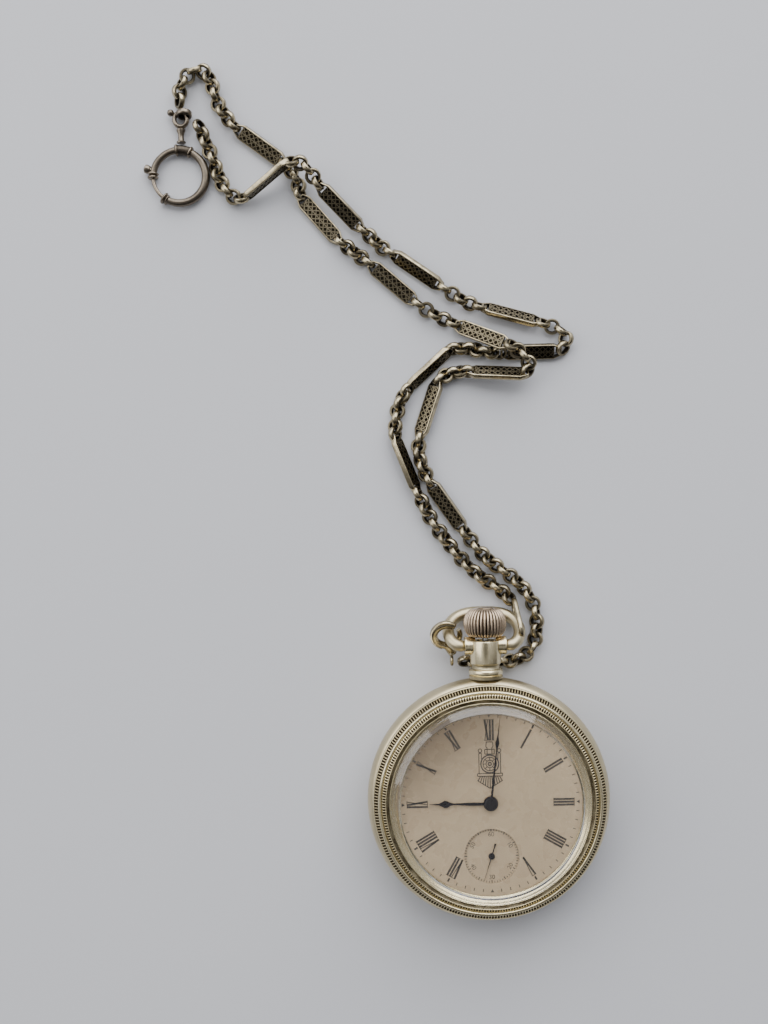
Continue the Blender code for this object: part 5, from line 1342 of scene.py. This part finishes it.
@dataclass
class Chain:
    """Both strands of the chain, with the clasp and the spring ring."""

    height: float = 1.9 * MM
    lift: float = 4.9 * MM
    reach: float = 16.0 * MM
    thickness: float = 3.8 * MM
    first_over: Flat = (8.6 * MM, 106.0 * MM)
    second_over: Flat = (-44.2 * MM, 151.3 * MM)
    first_bars: tuple[tuple[float, float], ...] = (
        (29.0, 25.0), (52.6, 0.0), (76.4, 15.0), (102.0, 4.0), (125.6, 42.0), (148.2, 36.0), (174.0, 26.0))
    second_bars: tuple[tuple[float, float], ...] = (
        (23.6, 86.0), (47.8, 30.0), (71.9, 50.0), (97.4, -42.0), (123.0, -30.0), (149.6, -62.0), (176.2, -56.0))

    def flat(self, route: Iterable[Flat]) -> list[Vector]:
        """The route's points on the table."""
        return [Vector((x * MM, y * MM, self.height)) for x, y in route]

    def build(self, pendant: Pendant) -> None:
        """Make the chain."""
        clasp, ring = Clasp(), BoltRing()
        end = clasp.eye() + Vector((1.8 * MM, -0.2 * MM, 0))
        first = Strand("strand_1", Route(self.flat(STRAND_1_ROUTE) + [end], self.first_over, self.lift, self.reach),
                       self.first_bars)
        second = Strand("strand_2", Route(self.flat(STRAND_2_ROUTE), self.second_over, self.lift, self.reach),
                        self.second_bars)
        chain_1 = show("chain_to_clasp", first.mesh(), Finish.CHAIN, "case", ["chain_strand_1"], 45)
        chain_2 = show("chain_to_bow", second.mesh(), Finish.CHAIN, "", ["chain_strand_2"], 45)
        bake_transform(chain_2)
        ring_pieces = [ring.body(), ring.bolt(), *ring.swivel()]
        clasp_pieces = [clasp.hook(), clasp.gate(), clasp.swivel(), clasp.long_link(pendant)]
        path = first.path()
        path = second.path()


# ---- Parts that keep their own shape ---------------------------------------------------
@dataclass
class Movement:
    """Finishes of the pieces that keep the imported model's shape."""

    by_slot: dict[str, Finish] = field(default_factory=lambda: {
        "movement_steel": Finish.STEEL, "movement_brass": Finish.BRASS, "blued_steel": Finish.BLUED,
        "dial_enamel": Finish.ENAMEL, "case_nickel": Finish.NICKEL, "crystal_glass": Finish.GLASS,
        "crown_rose": Finish.STEEL, "chain_silver": Finish.STEEL, "gunmetal": Finish.STEEL})

    def build(self) -> None:
        """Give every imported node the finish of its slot."""
        slots = {row["node"]: row["material_slot"] for row in frame["record"]["subparts"]}
        for name, node in frame["nodes"].items():
            node.data.materials.clear()
            node.data.materials.append(Materials.get(self.by_slot[slots[name]]))
        log.info("finishes: %d nodes", len(frame["nodes"]))


# ---- Floor, light and camera -----------------------------------------------------------
@dataclass
class Studio:
    """Pale floor, soft light and the camera straight above."""

    lens: float = 41.1
    height: float = 285 * MM
    place: Flat = (-23.18 * MM, 67.88 * MM)
    roll: float = -1.25
    floor_size: float = 4.0
    bright_way: tuple[float, float, float] = (-0.22, 0.93, 0.25)
    shade_way: tuple[float, float, float] = (-0.05, 0.12, 0.99)
    bright_sky: Colour = (1.02, 1.03, 1.07)
    dark_sky: Colour = (0.030, 0.027, 0.024)

    def floor(self) -> None:
        """The floor."""
        bm = bmesh.new()
        bmesh.ops.create_grid(bm, x_segments=1, y_segments=1, size=self.floor_size / 2)
        mesh = kept_mesh(bm, "floor")
        mesh.materials.append(Materials.get(Finish.FLOOR))
        floor = bpy.data.objects.new("floor", mesh)
        bpy.context.scene.collection.objects.link(floor)

    def lamp(self, name: str, place: tuple[float, float, float], size: float, power: float,
             colour: Colour = (1, 1, 1)) -> None:
        """A square soft lamp that faces the watch."""
        data = bpy.data.lights.new(name, "AREA")
        data.shape, data.size, data.energy, data.color = "SQUARE", size, power, colour
        lamp = bpy.data.objects.new(name, data)
        lamp.location = place
        target = Vector((*self.place, 0)) - Vector(place)
        lamp.rotation_mode = "QUATERNION"
        lamp.rotation_quaternion = target.to_track_quat("-Z", "Y")
        bpy.context.scene.collection.objects.link(lamp)

    def camera(self) -> None:
        """The camera."""
        data = bpy.data.cameras.new("camera")
        data.lens = self.lens
        data.clip_start, data.clip_end = 0.01, 10
        camera = bpy.data.objects.new("camera", data)
        camera.location = (*self.place, self.height)
        camera.rotation_euler = (0, 0, math.radians(self.roll))
        bpy.context.scene.collection.objects.link(camera)
        bpy.context.scene.camera = camera

    def build(self) -> None:
        """Set the studio up."""
        self.floor()
        self.lamp("window", (0.10, 0.85, 0.60), 1.2, 15.0, (0.98, 0.98, 1.0))
        self.lamp("side", (-0.80, 0.35, 0.60), 0.8, 4.5, (1.0, 0.98, 0.95))
        self.sky()
        self.camera()

    def sky(self) -> None:
        """A room that is bright towards +Y and dark towards -Y."""
        world = bpy.data.worlds.new("studio")
        world.use_nodes = True
        graph = Graph(world.node_tree)
        way = graph.node("ShaderNodeTexCoord", {}, {}, "Generated")
        share = graph.node("ShaderNodeVectorMath", {"operation": "DOT_PRODUCT"},
                           {0: way, 1: self.bright_way}, "Value").between(-0.75, 0.95)
        overhead = graph.node("ShaderNodeVectorMath", {"operation": "DOT_PRODUCT"},
                              {0: way, 1: self.shade_way}, "Value").between(0.90, 0.985)
        light = graph.mix(share, self.dark_sky, self.bright_sky)
        background = world.node_tree.nodes["Background"]
        graph.feed(background.inputs["Color"], graph.mix(overhead * 0.85, light, self.dark_sky))
        bpy.context.scene.world = world


def main() -> None:
    """Build every piece in order."""
    logging.basicConfig(level=logging.INFO, format="%(name)s %(message)s")
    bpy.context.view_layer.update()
    pendant = Pendant()
    Movement().build()
    Case().build()
    pendant.build()
    Dial().build()
    Hands().build()
    Chain().build(pendant)
    Studio().build()


if __name__ == "__main__":
    main()
